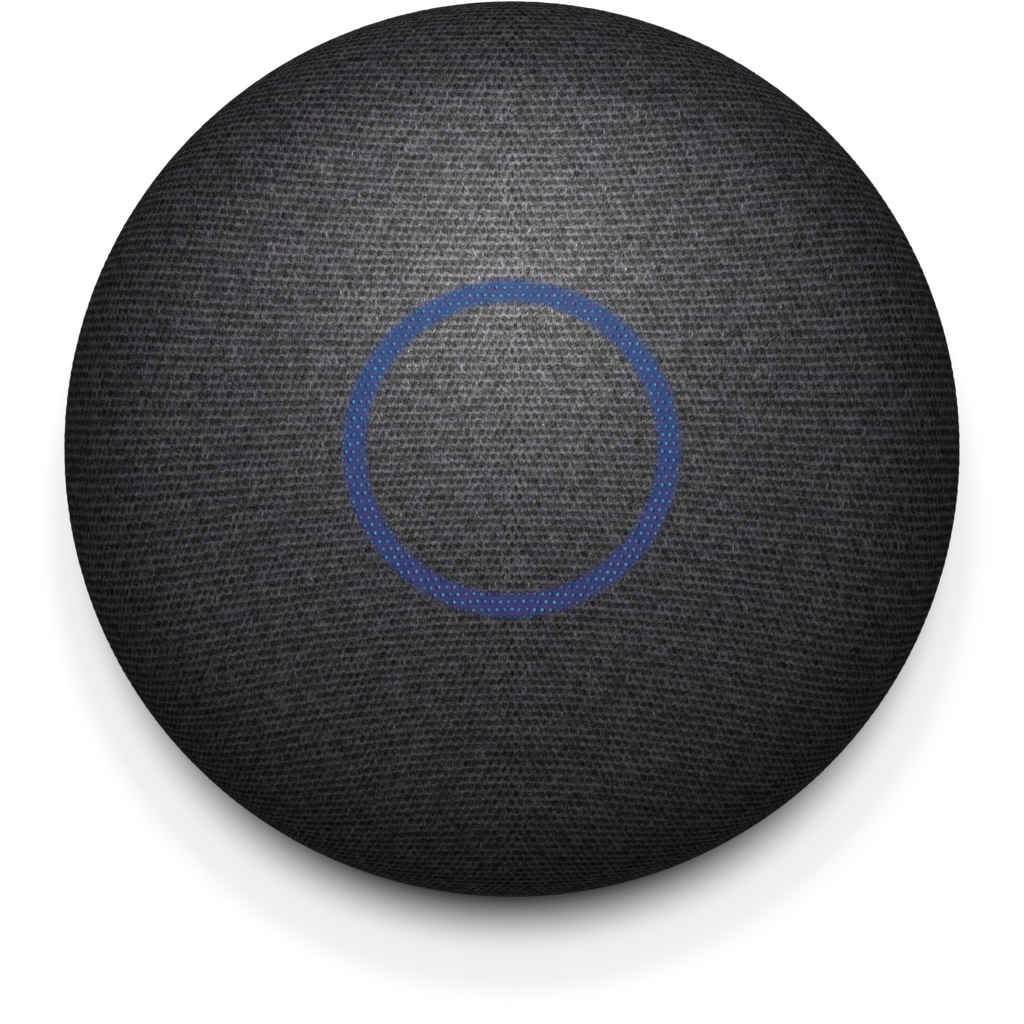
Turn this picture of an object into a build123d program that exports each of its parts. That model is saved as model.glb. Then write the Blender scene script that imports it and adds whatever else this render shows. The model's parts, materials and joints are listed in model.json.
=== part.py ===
from build123d import *

import os
from math import asin, cos, degrees, radians, sin, sqrt

# Puck-shaped smart speaker: a fabric dome with a light ring, over a plastic base that holds the electronics.
#
# Millimetres, +Z up. The origin is at the centre of the rubber foot's underside.
# +Y is the rear, where the power socket is, and the mute switch is at +X.
# The stack is worked out from the foot up to the dome, so the height follows from what is inside.

# ---------------------------------------------------------------- driving dimensions
# Cover
body_diameter = 100.0
crown_rise = 22.0  # from the widest line up to the top of the dome
shoulder_radius = 16.0
skirt_drop = 4.0  # how far the cover runs down below the widest line
fabric_thickness = 0.8
dome_wall = 1.6
hem_thickness = 0.9

# Clearances
glue_gap = 0.05
fit_gap = 0.3
part_line_gap = 0.4
slide_gap = 0.15
thread_gap = 0.05
screw_tip_gap = 0.5  # from a screw's tip to the end of its hole
magnetic_gap = 0.25

# Base casing and foot
base_wall = 2.0
base_step = 0.4  # the base stands this far inside the cover
belly_width = 13.1  # from the flat floor out to the base's top edge
foot_inset = 2.0  # from the edge of the flat floor to the foot
foot_stand = 1.0  # how far the foot holds the casing off the table
foot_recess = 0.8
foot_groove_depth = 0.5
foot_groove_width = 1.2
foot_groove_pitch = 3.6
foot_groove_inset = 4.0
foot_opening_margin = 1.4  # round the keyhole and the reset button
lip_wall = 1.5
lip_height = 4.6
lip_root = 2.0
snap_count = 6
snap_angle = 11.0
snap_height = 1.4
snap_bite = 1.2
snap_rise = 1.9  # from the base's top edge to the underside of a snap bead
rib_length = 4.0
rib_width = 1.2
rib_height = 2.2

# Keyhole for a wall screw
keyhole_entry_radius = 4.7
keyhole_slot_radius = 2.4
keyhole_travel = 10.0
keyhole_y = -8.0
keyhole_depth = 4.4
keyhole_wall = 1.2
keyhole_side = 0.5  # room beside the screw's head

# Main board
standoff_height = 3.2
standoff_radius = 2.5
standoff_inset = 5.0  # from the main board's edge to its screws
standoff_angles = (110.0, 200.0, 335.0)
board_thickness = 1.2
board_edge_gap = 1.3  # from the main board to the mute switch's flange
board_notch_corner = 2.0
board_screw_radius = 1.0
board_screw_length = 4.0
board_screw_head_radius = 1.9
board_screw_head_height = 1.3
component_room = 4.4  # from the board's top to the speaker box

# Speaker box
box_wall = 1.6
box_lid_thickness = 1.5
box_taper = 7.5  # how much smaller the box's floor is than its rim
box_side_room = 5.25  # between the box and the base's lip, for the flat cable
box_lid_register = 1.5
base_screw_inset = 4.0
base_boss_radius = 4.0
base_screw_radius = 1.25
base_screw_bite = 4.9  # length of thread in the speaker box
base_screw_head_radius = 2.3
base_screw_head_height = 2.0
box_boss_radius = 3.0

# Loudspeaker
driver_depth = 16.1  # back of the yoke to the underside of the flange
flange_radius = 22.5
flange_thickness = 0.8
ear_ring_radius = 24.6
ear_radius = 2.6
driver_cutout_gap = 0.4
basket_mouth_radius = 19.8
basket_waist_radius = 15.5
basket_wall = 0.6
basket_plate = 0.8
spider_ledge_height = 2.2
basket_window_angle = 52.0
basket_window_edge = 0.8
yoke_radius = 14.0
yoke_plate = 1.5
pole_radius = 5.9
magnet_radius = 15.0
magnet_height = 3.8
magnet_bore_radius = 8.5
top_plate_thickness = 2.0
top_plate_radius = 13.5
motor_chamfer = 0.5
coil_former_wall = 0.2
coil_winding_wall = 0.3
coil_winding_height = 4.0
former_overhang = 0.6  # below the winding
cone_radius = 15.6
cone_wall = 0.4
cone_depth = 5.0
cone_edge = 1.0  # flat edge under the surround
dust_cap_radius = 7.5
dust_cap_rise = 2.0
surround_roll = 1.9
surround_wall = 0.35
surround_inner_lip = 0.85
surround_outer_lip = 1.05
cone_travel = 1.5
spider_wave = 0.7
spider_waves = 2
spider_flat = 0.7
spider_bend = 0.5
spider_ledge_width = 1.4
spider_wall = 0.3
box_gasket_thickness = 0.5
driver_screw_radius = 1.0
driver_screw_length = 5.0
driver_screw_head_radius = 1.9
driver_screw_head_height = 1.2
terminal_length = 8.0
terminal_width = 5.0
terminal_thickness = 1.0
tag_length = 3.0
tag_width = 1.6
tag_thickness = 0.3
tag_pitch = 4.4
motor_clearance = 0.7  # yoke to box floor

# Light ring
ring_radius = 17.6
ring_width = 2.6
ring_skirt_width = 1.4
ring_skirt_height = 0.6
ring_bridge_count = 6
ring_bridge_width = 1.6
ring_bridge_height = 0.7
ring_bridge_angle = 15.0
light_gap = 0.3
led_count = 12
led_size = 2.0
led_height = 0.8
led_lens_radius = 0.75
led_lens_depth = 0.2
led_board_thickness = 0.8
led_board_margin = 1.8  # from the lamps to the board's inner edge
led_board_edge = 1.1  # from a locating pin to the board's outer edge
led_post_gap = 0.4  # from the light ring to the posts
led_post_radius = 1.5
led_pin_radius = 0.7
led_pin_length = 1.2
cone_headroom = 0.5  # between the cone's surround and the light board at full travel

# Grille
grille_hole_radius = 1.9
grille_hole_pitch = 6.0
grille_rings = 2
grille_slot_count = 30
grille_slot_width = 2.6
grille_slot_gap = 1.7  # from the posts to the slots
foam_ring_width = 1.6
foam_squeeze = 0.1

# Microphones
mic_angles = (90.0, 270.0)
mic_board_length = 6.0
mic_board_width = 4.4
mic_board_thickness = 0.8
mic_length = 3.0
mic_width = 2.4
mic_height = 1.0
mic_boot_radius = 2.1
mic_port_radius = 0.6
mic_inset = 2.6  # from the box's edge to the microphones
mic_headroom = 0.2  # at least, from the microphones to the dome

# Touch films
touch_film = 0.25
touch_low_angle = 22.0
touch_height_angle = 40.0
touch_wrap_angle = 70.0

# Electronics
shield_length = 24.0
shield_width = 18.0
shield_height = 2.4
shield_wall = 0.2
shield_corner = 1.0
processor_size = 12.0
processor_height = 1.1
memory_length = 9.0
memory_width = 7.0
chip_gap = 1.5
thermal_pad_height = 0.5
thermal_pad_inset = 2.0
spreader_thickness = 1.0
spreader_rim = 2.0
spreader_gap = 1.0  # from the spreader to the base's bosses
spreader_window_gap = 2.0
amplifier_size = 7.0
amplifier_angles = (193.0,)
codec_size = 5.0
codec_angles = (168.0, 348.0)
flat_chip_height = 1.0
coil_size = 5.0
coil_height = 2.4
coil_angles = (10.0,)
capacitor_radius = 2.6
capacitor_height = 3.4
capacitor_angles = (240.0, 290.0, 300.0)
chip_ring_step = 2.0  # chips and capacitors stand this far inside and outside the ring of bosses
antenna_places = (150.0, 30.0)
antenna_film = 0.25
antenna_angle = 34.0
antenna_height = 7.0

# Power socket
socket_width = 9.0
socket_height = 3.2
socket_length = 7.4
socket_shell = 0.3
socket_tongue_width = 6.7
socket_tongue_height = 0.7
socket_tongue_length = 5.0
socket_back_wall = 1.0
socket_recess = 1.0  # how far the socket's mouth is behind the casing's inner face
plug_opening_width = 13.0
plug_opening_height = 7.2

# Mute switch
mute_travel = 2.0
mute_opening_corner = 1.0
mute_knob_length = 5.0
mute_knob_height = 3.4
mute_knob_stand = 0.7
mute_knob_edge = 0.5
mute_grip_pitch = 1.2
mute_grip_depth = 0.25
mute_flange_length = 12.4
mute_flange_height = 5.4
mute_flange_thickness = 1.0
mute_body_length = 9.0
mute_body_height = 3.2
mute_body_width = 3.2
mute_lever = 1.5
mute_lever_bite = 1.2

# Reset button
reset_angle = 110.0
reset_gap = 2.9  # from the reset switch to the standoff beside it
reset_radius = 2.5
reset_flange = 1.0
reset_flange_thickness = 0.5
reset_recess = 1.3
reset_travel = 0.3
tact_size = 6.0
tact_height = 2.2
plunger_radius = 1.0
plunger_bite = 0.6

# Wiring
flat_cable_width = 6.0
flat_cable_thickness = 0.3
flat_cable_angle = 250.0
cable_clearance = 0.6  # from the dome's inside to the middle of the cable
cable_bends = (80.0, 58.0, 36.0)  # round the shoulder, measured up from the widest line
cable_lap = 3.0  # on the underside of the light board
cable_lead = 2.5
cable_wall_gap = 2.5  # from the lip to the cable
cable_step = 1.0  # the cable comes this much further in below the lip
cable_bend_radius = 1.2
connector_inset = 2.6
connector_depth = 3.0
connector_height = 1.6
connector_slot = 0.5
connector_end = 1.0
wire_socket_length = 4.0
wire_socket_width = 5.0
wire_socket_height = 2.2
speaker_wire_radius = 0.8
speaker_wire_drop = 3.0
speaker_wire_slope = 4.0
speaker_wire_bend = 2.0
grommet_radius = 2.4
grommet_flange = 0.8
grommet_overhang = 0.7
grommet_gap = 0.8  # from the heat spreader to the grommet

# ---------------------------------------------------------------- radii, from the rim inwards
body_radius = body_diameter / 2
shoulder_centre = body_radius - shoulder_radius
crown_radius = (shoulder_centre**2 + crown_rise**2 - shoulder_radius**2) / 2 / (crown_rise - shoulder_radius)
crown_angle = degrees(asin(shoulder_centre / (crown_radius - shoulder_radius)))
dome_inset = fabric_thickness + glue_gap
inner_inset = dome_inset + dome_wall
dome_inner_radius = body_radius - inner_inset
base_top_radius = body_radius - base_step
flat_radius = base_top_radius - belly_width
foot_radius = flat_radius - foot_inset
lip_outer = dome_inner_radius - fit_gap
lip_inner = lip_outer - lip_wall
box_radius = lip_inner - box_side_room
box_floor_radius = box_radius - box_taper
base_screw_ring = box_floor_radius - base_screw_inset
spreader_radius = base_screw_ring - base_boss_radius - spreader_gap
mic_ring = box_radius - mic_inset
foam_outer = mic_ring - mic_board_width / 2 - fit_gap
foam_inner = foam_outer - foam_ring_width
led_post_ring = ring_radius + ring_width / 2 + led_post_gap + led_post_radius
led_board_inner = ring_radius - led_size / 2 - led_board_margin
led_board_outer = led_post_ring + led_pin_radius + led_board_edge
grille_slot_inner = led_post_ring + led_post_radius + grille_slot_gap
grille_slot_outer = foam_inner - fit_gap
former_inner = pole_radius + magnetic_gap
former_outer = former_inner + coil_former_wall
winding_outer = former_outer + coil_winding_wall
top_plate_bore = winding_outer + magnetic_gap
cutout_radius = basket_mouth_radius + basket_wall + driver_cutout_gap

# ---------------------------------------------------------------- places along the main board
keyhole_pocket_radius = keyhole_entry_radius + keyhole_side + keyhole_wall
notch_end_y = keyhole_y + keyhole_pocket_radius + fit_gap
wire_y = spreader_radius + grommet_radius + grommet_flange + grommet_gap
shield_y = (notch_end_y + wire_y - wire_socket_width / 2) / 2

# ---------------------------------------------------------------- heights, from the foot up
foot_thickness = foot_stand + foot_recess
recess_z = foot_thickness
floor_z = recess_z + base_wall
board_z = floor_z + standoff_height
board_top_z = board_z + board_thickness
box_z = board_top_z + component_room
box_floor_z = box_z + box_wall
yoke_z = box_floor_z + motor_clearance
motor_height = yoke_plate + magnet_height + top_plate_thickness
flange_z = yoke_z + driver_depth
flange_top_z = flange_z + flange_thickness
lid_top_z = flange_z - box_gasket_thickness
lid_z = lid_top_z - box_lid_thickness
surround_top_z = flange_top_z + surround_roll
led_board_z = surround_top_z + cone_travel + cone_headroom
led_board_top_z = led_board_z + led_board_thickness
ring_skirt_z = led_board_top_z + led_height + light_gap
mic_top_z = lid_top_z + mic_board_thickness + mic_height


def depth_under_top(radius):
    """From the dome's top down to the underside of its crown at that radius."""
    return crown_radius - sqrt((crown_radius - inner_inset) ** 2 - radius**2)


# The dome clears the light ring's skirt and the microphones, whichever stands higher under it.
height_over_ring = ring_skirt_z + ring_skirt_height + depth_under_top(ring_radius)
height_over_mics = mic_top_z + mic_headroom + depth_under_top(mic_ring + mic_width / 2)
body_height = max(height_over_ring, height_over_mics)
ring_seat_z = body_height - depth_under_top(ring_radius)
rim_z = body_height - crown_rise
crown_centre_z = body_height - crown_radius
hem_z = rim_z - skirt_drop
dome_edge_z = hem_z + hem_thickness
base_top_z = hem_z - part_line_gap

LOW = (Align.CENTER, Align.CENTER, Align.MIN)
HIGH = (Align.CENTER, Align.CENTER, Align.MAX)
QUARTERS = (45.0, 135.0, 225.0, 315.0)


# ---------------------------------------------------------------- helpers
def disc(radius, bottom, top):
    """An upright cylinder on the speaker's axis."""
    return Pos(0, 0, bottom) * Cylinder(radius, top - bottom, align=LOW)


def tube(inner, outer, bottom, top):
    """An upright tube on the speaker's axis."""
    return disc(outer, bottom, top) - disc(inner, bottom, top)


def turned(profile, sweep=360.0):
    """A profile drawn as (radius, height), turned about the speaker's axis."""
    return revolve(Plane.XZ * profile, Axis.Z, sweep)


def turned_about(profile, middle, sweep):
    """A profile turned through `sweep` degrees, with its middle at the angle `middle`."""
    return Rot(0, 0, middle - sweep / 2) * turned(profile, sweep)


def at(radius, angle, z=0.0):
    """The place at that radius and angle, turned so that its own X points outwards."""
    return Rot(0, 0, angle) * Pos(radius, 0, z)


def around(shape, radius, angles, z=0.0):
    """Copies of a shape at those angles round the axis."""
    return [at(radius, angle, z) * shape for angle in angles]


def spread(count, start=0.0):
    """Evenly spaced angles."""
    return [start + k * 360.0 / count for k in range(count)]


def block(length, width, bottom, top, x=0.0, y=0.0):
    """An upright box, centred at (x, y)."""
    return Pos(x, y, bottom) * Box(length, width, top - bottom, align=LOW)


def crown_z(radius, inset):
    """Height of the dome's surface at that radius, for the surface `inset` inside the fabric's outside."""
    return crown_centre_z + sqrt((crown_radius - inset) ** 2 - radius**2)


def shoulder_point(angle, inset):
    """The point of the shoulder at that angle above the widest line."""
    reach = shoulder_radius - inset
    return (shoulder_centre + reach * cos(radians(angle)), rim_z + reach * sin(radians(angle)))


def dome_line(inset, bottom):
    """The dome's outline from its top down to `bottom`: crown, shoulder and skirt, tangent to each other."""
    crown = CenterArc((0, crown_centre_z), crown_radius - inset, 90, -crown_angle)
    start = 90 - crown_angle
    shoulder = CenterArc((shoulder_centre, rim_z), shoulder_radius - inset, start, -start)
    skirt = Line((body_radius - inset, rim_z), (body_radius - inset, bottom))
    return crown + shoulder + skirt


def dome_layer(outer, inner, bottom):
    """The section between two surfaces of the dome."""
    top = Line((0, body_height - outer), (0, body_height - inner))
    foot = Line((body_radius - outer, bottom), (body_radius - inner, bottom))
    return make_face(dome_line(outer, bottom) + dome_line(inner, bottom) + top + foot)


def under_dome(inset):
    """Everything below the surface `inset` inside the fabric's outside."""
    top = (0, body_height - inset)
    edge = (body_radius - inset, 0)
    rest = Polyline(top, (0, 0), edge)
    return turned(make_face(dome_line(inset, 0) + rest))


def screw(shank_radius, length, head_radius, head_height):
    """A pan-head screw standing on its head's underside at z = 0, with the shank pointing down."""
    shank = Cylinder(shank_radius, length, align=HIGH)
    head = Cylinder(head_radius, head_height, align=LOW)
    head = chamfer(head.edges().sort_by(Axis.Z)[-1], head_height * 0.3)
    drive = Pos(0, 0, head_height * 0.45) * extrude(RegularPolygon(shank_radius * 0.8, 6), head_height)
    return shank + head - drive


# ---------------------------------------------------------------- cover
def fabric_cover():
    """Textile skin, folded in under the dome's edge."""
    skin = turned(dome_layer(0, fabric_thickness, hem_z))
    hem = tube(body_radius - inner_inset, body_radius - fabric_thickness / 2, hem_z, dome_edge_z - glue_gap)
    return skin + hem


def ring_tube(width, bottom, top):
    """A tube as wide as `width` on the light ring's middle line."""
    return tube(ring_radius - width / 2, ring_radius + width / 2, bottom, top)


def ring_bridges(extra=0.0):
    """The small bridges that carry the dome's centre across the light ring's slot."""
    reach = ring_width + 4 * fit_gap
    bottom = crown_z(ring_radius + ring_width / 2, inner_inset) - dome_wall / 3
    bridge = block(reach, ring_bridge_width + 2 * extra, bottom, ring_seat_z + ring_bridge_height + extra)
    return around(bridge, ring_radius, spread(ring_bridge_count, ring_bridge_angle))


def grille_dome():
    """Hard dome under the fabric, pierced over the loudspeaker and slotted for the light ring."""
    dome = turned(dome_layer(dome_inset, inner_inset, dome_edge_z))
    whole = dome
    hole = Pos(0, 0, ring_seat_z - 1) * Cylinder(grille_hole_radius, body_height, align=LOW)
    holes = [hole]
    for ring in range(1, grille_rings + 1):
        holes += around(hole, ring * grille_hole_pitch, spread(6 * ring))
    slot_length = grille_slot_outer - grille_slot_inner
    slot = extrude(SlotOverall(slot_length, grille_slot_width), body_height)
    middle = (grille_slot_outer + grille_slot_inner) / 2
    holes += around(slot, middle, spread(grille_slot_count))
    holes += around(Cylinder(mic_port_radius, 2 * body_height), mic_ring, mic_angles)
    dome = dome - holes - ring_tube(ring_width, 0, body_height)
    dome += [whole & bridge for bridge in ring_bridges()]
    roof = under_dome(inner_inset - dome_wall / 2)
    post = Cylinder(led_post_radius, body_height, align=LOW)
    posts = [p & roof for p in around(post, led_post_ring, spread(4), led_board_top_z)]
    pin = Cylinder(led_pin_radius, led_pin_length + 1, align=HIGH)
    pins = around(pin, led_post_ring, spread(4), led_board_top_z + 1)
    bead_z = base_top_z + snap_rise
    inner_edge = dome_inner_radius - snap_bite
    root = dome_inner_radius + dome_wall / 8
    bead = Rectangle(root - inner_edge, snap_height)
    bead = Pos((root + inner_edge) / 2, bead_z + snap_height / 2) * bead
    beads = [turned_about(bead, angle, snap_angle) for angle in spread(snap_count)]
    return dome + posts + pins + beads


def light_ring():
    """Translucent ring that fills the dome's slot, with a skirt that gathers the light from below."""
    layer = turned(dome_layer(dome_inset, inner_inset, dome_edge_z))
    band = layer & ring_tube(ring_width - 2 * glue_gap, 0, body_height)
    skirt = ring_tube(ring_skirt_width, ring_skirt_z, ring_seat_z + dome_wall / 2)
    return band + skirt - ring_bridges(glue_gap)


def led_board():
    """Ring-shaped board under the light ring."""
    board = tube(led_board_inner, led_board_outer, led_board_z, led_board_top_z)
    hole = Cylinder(led_pin_radius + fit_gap / 2, 2 * body_height)
    return board - around(hole, led_post_ring, spread(4))


def leds():
    """The light ring's lamps, each with a shallow round well for its lens."""
    lamp = Box(led_size, led_size, led_height, align=LOW)
    lamp -= Pos(0, 0, led_height) * Cylinder(led_lens_radius, 2 * led_lens_depth)
    return around(lamp, ring_radius, spread(led_count), led_board_top_z)


def foam_ring():
    """Foam that seals the dome to the speaker box, with a gap for the flat cable."""
    top = crown_z(foam_outer, inner_inset) - foam_squeeze
    ring = tube(foam_inner, foam_outer, lid_top_z, top)
    gap = block(foam_outer, flat_cable_width + 2, 0, body_height, x=foam_outer)
    return ring - Rot(0, 0, flat_cable_angle) * gap


def touch_film_at(angle):
    """Touch-sensing film behind the dome's shoulder."""
    near = inner_inset + glue_gap
    far = near + touch_film
    arcs = [
        CenterArc((shoulder_centre, rim_z), shoulder_radius - inset, touch_low_angle, touch_height_angle)
        for inset in (near, far)
    ]
    high = touch_low_angle + touch_height_angle
    ends = [Line(shoulder_point(a, near), shoulder_point(a, far)) for a in (touch_low_angle, high)]
    return turned_about(make_face(arcs[0] + arcs[1] + ends), angle, touch_wrap_angle)


# ---------------------------------------------------------------- base
def belly_line(step, floor):
    """The base's outline from its top edge down to its flat floor, `step` inside the outer wall."""
    return EllipticalCenterArc(
        (flat_radius, base_top_z), belly_width - step, base_top_z - floor, start_angle=270, arc_size=90
    )


def belly_radius(z, step=0.0, floor=None):
    """Radius of the base's wall at a height."""
    depth = base_top_z - (foot_stand if floor is None else floor)
    share = (base_top_z - z) / depth
    return flat_radius + (belly_width - step) * sqrt(1 - share**2)


def keyhole_outline(radius, far_radius=None):
    """A slot from the keyhole's entry to the end of its travel."""
    entry = Pos(0, keyhole_y) * Circle(radius)
    end = Pos(0, keyhole_y - keyhole_travel) * Circle(far_radius or radius)
    width = 2 * (far_radius or radius)
    lane = Pos(0, keyhole_y - keyhole_travel / 2) * Rectangle(width, keyhole_travel)
    return entry + lane + end


def base_shell():
    """Lower casing with its lip, screw bosses, board standoffs, keyhole pocket and openings."""
    outer = belly_line(0, foot_stand)
    inner = belly_line(base_wall, floor_z)
    frame = Polyline((flat_radius, foot_stand), (0, foot_stand), (0, floor_z), (flat_radius, floor_z))
    rim = Line((base_top_radius, base_top_z), (base_top_radius - base_wall, base_top_z))
    shell = turned(make_face(outer + inner + frame + rim))
    lip = tube(lip_inner, lip_outer, base_top_z - lip_root, base_top_z + lip_height)
    root = tube(lip_inner, base_top_radius - base_wall / 2, base_top_z - lip_root, base_top_z)
    shell = shell + lip + root
    window_z = base_top_z + snap_rise - fit_gap
    window = Pos((lip_inner + lip_outer) / 2, window_z + snap_height / 2 + fit_gap) * Rectangle(
        2 * lip_wall, snap_height + 2 * fit_gap
    )
    shell -= [turned_about(window, angle, snap_angle + 2) for angle in spread(snap_count)]

    boss = Cylinder(base_boss_radius, box_z - recess_z, align=LOW)
    bosses = around(boss, base_screw_ring, QUARTERS, recess_z)
    standoff = Cylinder(standoff_radius, board_z - recess_z - base_wall / 2, align=LOW)
    bosses += around(standoff, standoff_ring(), standoff_angles, recess_z + base_wall / 2)
    rib = Box(rib_length, rib_width, rib_height + base_wall / 2, align=LOW)
    rib_ring = base_screw_ring + base_boss_radius + rib_length / 4
    bosses += around(rib, rib_ring, QUARTERS, floor_z - base_wall / 2)
    pocket_top = floor_z + keyhole_depth + keyhole_wall
    pocket = Pos(0, 0, recess_z) * extrude(keyhole_outline(keyhole_pocket_radius), pocket_top - recess_z)
    shell = shell + bosses + pocket

    shell -= disc(foot_radius + fit_gap, foot_stand - 1, recess_z)
    head_hole = Cylinder(base_screw_head_radius + fit_gap, 2 * (base_screw_seat_z() - recess_z))
    shank_hole = Cylinder(base_screw_radius + fit_gap / 2, 4 * box_z)
    shell -= around(head_hole, base_screw_ring, QUARTERS, recess_z)
    shell -= around(shank_hole, base_screw_ring, QUARTERS)
    pilot = Cylinder(board_screw_radius + thread_gap, board_screw_length, align=HIGH)
    shell -= around(pilot, standoff_ring(), standoff_angles, board_z)
    head_room = extrude(keyhole_outline(keyhole_entry_radius + keyhole_side), keyhole_depth)
    shell -= Pos(0, 0, floor_z) * head_room
    shell -= extrude(keyhole_outline(keyhole_entry_radius, keyhole_slot_radius), floor_z + glue_gap)

    plug_way = Rot(90, 0, 0) * extrude(SlotOverall(plug_opening_width, plug_opening_height), -body_radius)
    shell -= Pos(0, socket_mouth_y() - base_wall, socket_centre_z()) * plug_way
    mute_way = Box(body_radius, mute_knob_length + mute_travel + 2 * fit_gap, mute_knob_height + 2 * fit_gap)
    mute_way = fillet(mute_way.edges().filter_by(Axis.X), mute_opening_corner)
    shell -= Pos(mute_inner_x() + body_radius / 2 - base_wall, 0, mute_centre_z()) * mute_way
    shell -= at(reset_ring(), reset_angle) * Cylinder(reset_radius + fit_gap / 2, 4 * floor_z)
    return shell


def base_screw_seat_z():
    """Height of the face that a base screw's head bears on."""
    return recess_z + base_screw_head_height + fit_gap


def rubber_foot():
    """Non-slip foot that hides the screws and leaves the keyhole and the reset button open."""
    foot = disc(foot_radius, 0, foot_thickness - glue_gap)
    foot = chamfer(foot.edges().sort_by(Axis.Z)[0], foot_stand / 2)
    for step in (0, 1):
        radius = foot_radius - foot_groove_inset - step * foot_groove_pitch
        foot -= tube(radius - foot_groove_width, radius, -foot_stand, foot_groove_depth)
    keyhole = keyhole_outline(keyhole_entry_radius + foot_opening_margin)
    foot -= Pos(0, 0, -foot_stand) * extrude(keyhole, 4 * foot_thickness)
    button_way = Cylinder(reset_radius + foot_opening_margin, 4 * foot_thickness)
    return foot - at(reset_ring(), reset_angle) * button_way


def base_screws():
    """Screws that go up through the base into the speaker box."""
    length = box_z + base_screw_bite - base_screw_seat_z()
    one = Rot(180, 0, 0) * screw(base_screw_radius, length, base_screw_head_radius, base_screw_head_height)
    return around(one, base_screw_ring, QUARTERS, base_screw_seat_z())


# ---------------------------------------------------------------- main board
def board_radius():
    """The main board reaches almost to the mute switch's flange."""
    return mute_inner_x() - mute_flange_thickness - board_edge_gap


def standoff_ring():
    """Radius at which the main board's screws and standoffs are."""
    return board_radius() - standoff_inset


def main_board():
    """Main circuit board, notched round the keyhole pocket and the base's bosses."""
    board = disc(board_radius(), board_z, board_top_z)
    notch_width = 2 * (keyhole_pocket_radius + fit_gap)
    notch = block(notch_width, body_radius, 0, body_height, y=notch_end_y - body_radius / 2)
    board -= fillet(notch.edges().filter_by(Axis.Z), board_notch_corner)
    board -= around(Cylinder(base_boss_radius + fit_gap, 2 * body_height), base_screw_ring, QUARTERS)
    screw_hole = Cylinder(board_screw_radius + fit_gap, 2 * body_height)
    return board - around(screw_hole, standoff_ring(), standoff_angles)


def board_screws():
    """Screws that hold the main board on its standoffs."""
    length = board_screw_length + board_thickness - screw_tip_gap
    one = screw(board_screw_radius, length, board_screw_head_radius, board_screw_head_height)
    return around(one, standoff_ring(), standoff_angles, board_top_z)


def shield_can():
    """Drawn metal can over the processor, open below, with rounded edges."""
    top = board_top_z + shield_height
    can = block(shield_length, shield_width, board_top_z, top, y=shield_y)
    can = fillet(can.edges().filter_by(Axis.Z), shield_corner)
    length, width = shield_length - 2 * shield_wall, shield_width - 2 * shield_wall
    inside = block(length, width, board_z, top - shield_wall, y=shield_y)
    return can - inside


def processor():
    """Processor and memory under the shield."""
    top = board_top_z + processor_height
    left = -(processor_size + chip_gap + memory_width) / 2
    memory_x = left + processor_size + chip_gap + memory_width / 2
    return [
        block(processor_size, processor_size, board_top_z, top, x=left + processor_size / 2, y=shield_y),
        block(memory_width, memory_length, board_top_z, top, x=memory_x, y=shield_y),
    ]


def thermal_pad():
    """Soft pad between the shield and the heat spreader."""
    bottom = board_top_z + shield_height
    length, width = shield_length - 2 * thermal_pad_inset, shield_width - 2 * thermal_pad_inset
    return block(length, width, bottom, bottom + thermal_pad_height, y=shield_y)


def heat_spreader():
    """Aluminium plate under the speaker box, pressed down on the thermal pad, with an upright rim."""
    bottom = board_top_z + shield_height + thermal_pad_height
    pressed = disc(spreader_radius - spreader_rim, bottom + spreader_thickness, body_height)
    length, width = shield_length + 2 * spreader_window_gap, shield_width + 2 * spreader_window_gap
    window = block(length, width, bottom + spreader_thickness, body_height, y=shield_y)
    return disc(spreader_radius, bottom, box_z) - pressed - window


def board_chips():
    """Amplifier, converter, coil, codec and capacitors on the main board."""
    amplifier = Box(amplifier_size, amplifier_size, flat_chip_height, align=LOW)
    codec = Box(codec_size, codec_size, flat_chip_height, align=LOW)
    coil = Box(coil_size, coil_size, coil_height, align=LOW)
    coil = fillet(coil.edges().filter_by(Axis.Z), coil_size / 5)
    can = Cylinder(capacitor_radius, capacitor_height, align=LOW)
    inside, outside = base_screw_ring - chip_ring_step, base_screw_ring + chip_ring_step
    chips = around(amplifier, inside, amplifier_angles, board_top_z)
    chips += around(codec, inside, codec_angles, board_top_z)
    chips += around(coil, inside, coil_angles, board_top_z)
    return chips + around(can, outside, capacitor_angles, board_top_z)


# ---------------------------------------------------------------- power socket
def socket_centre_z():
    """Height of the power socket's middle."""
    return board_top_z + socket_height / 2


def socket_mouth_y():
    """Where the power socket's mouth is, behind the casing's wall."""
    wall = belly_radius(socket_centre_z() - socket_height / 2, base_wall, floor_z)
    return sqrt(wall**2 - (socket_width / 2) ** 2) - socket_recess


def power_socket():
    """Stainless shell of the power socket, open at its mouth."""
    shape = Rot(90, 0, 0) * extrude(SlotOverall(socket_width, socket_height), socket_length)
    hollow_width = socket_width - 2 * socket_shell
    hollow_height = socket_height - 2 * socket_shell
    depth = socket_length - socket_back_wall
    hollow = Rot(90, 0, 0) * extrude(SlotOverall(hollow_width, hollow_height), depth)
    return Pos(0, socket_mouth_y(), socket_centre_z()) * (shape - hollow)


def power_tongue():
    """Contact tongue inside the power socket."""
    back = socket_mouth_y() - socket_length + socket_back_wall
    forwards = (Align.CENTER, Align.MIN, Align.CENTER)
    tongue = Box(socket_tongue_width, socket_tongue_length, socket_tongue_height, align=forwards)
    tongue = fillet(tongue.edges().filter_by(Axis.Z).sort_by(Axis.Y)[-2:], socket_tongue_height)
    return Pos(0, back, socket_centre_z()) * tongue


# ---------------------------------------------------------------- mute switch
def mute_centre_z():
    """Height of the mute switch's middle."""
    return board_top_z + mute_body_height / 2


def mute_inner_x():
    """Where the knob's flange runs, inside the casing's wall."""
    half = (mute_flange_length + mute_travel) / 2
    wall = belly_radius(mute_centre_z() - mute_flange_height / 2, base_wall, floor_z)
    return sqrt(wall**2 - half**2) - 2 * slide_gap


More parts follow.
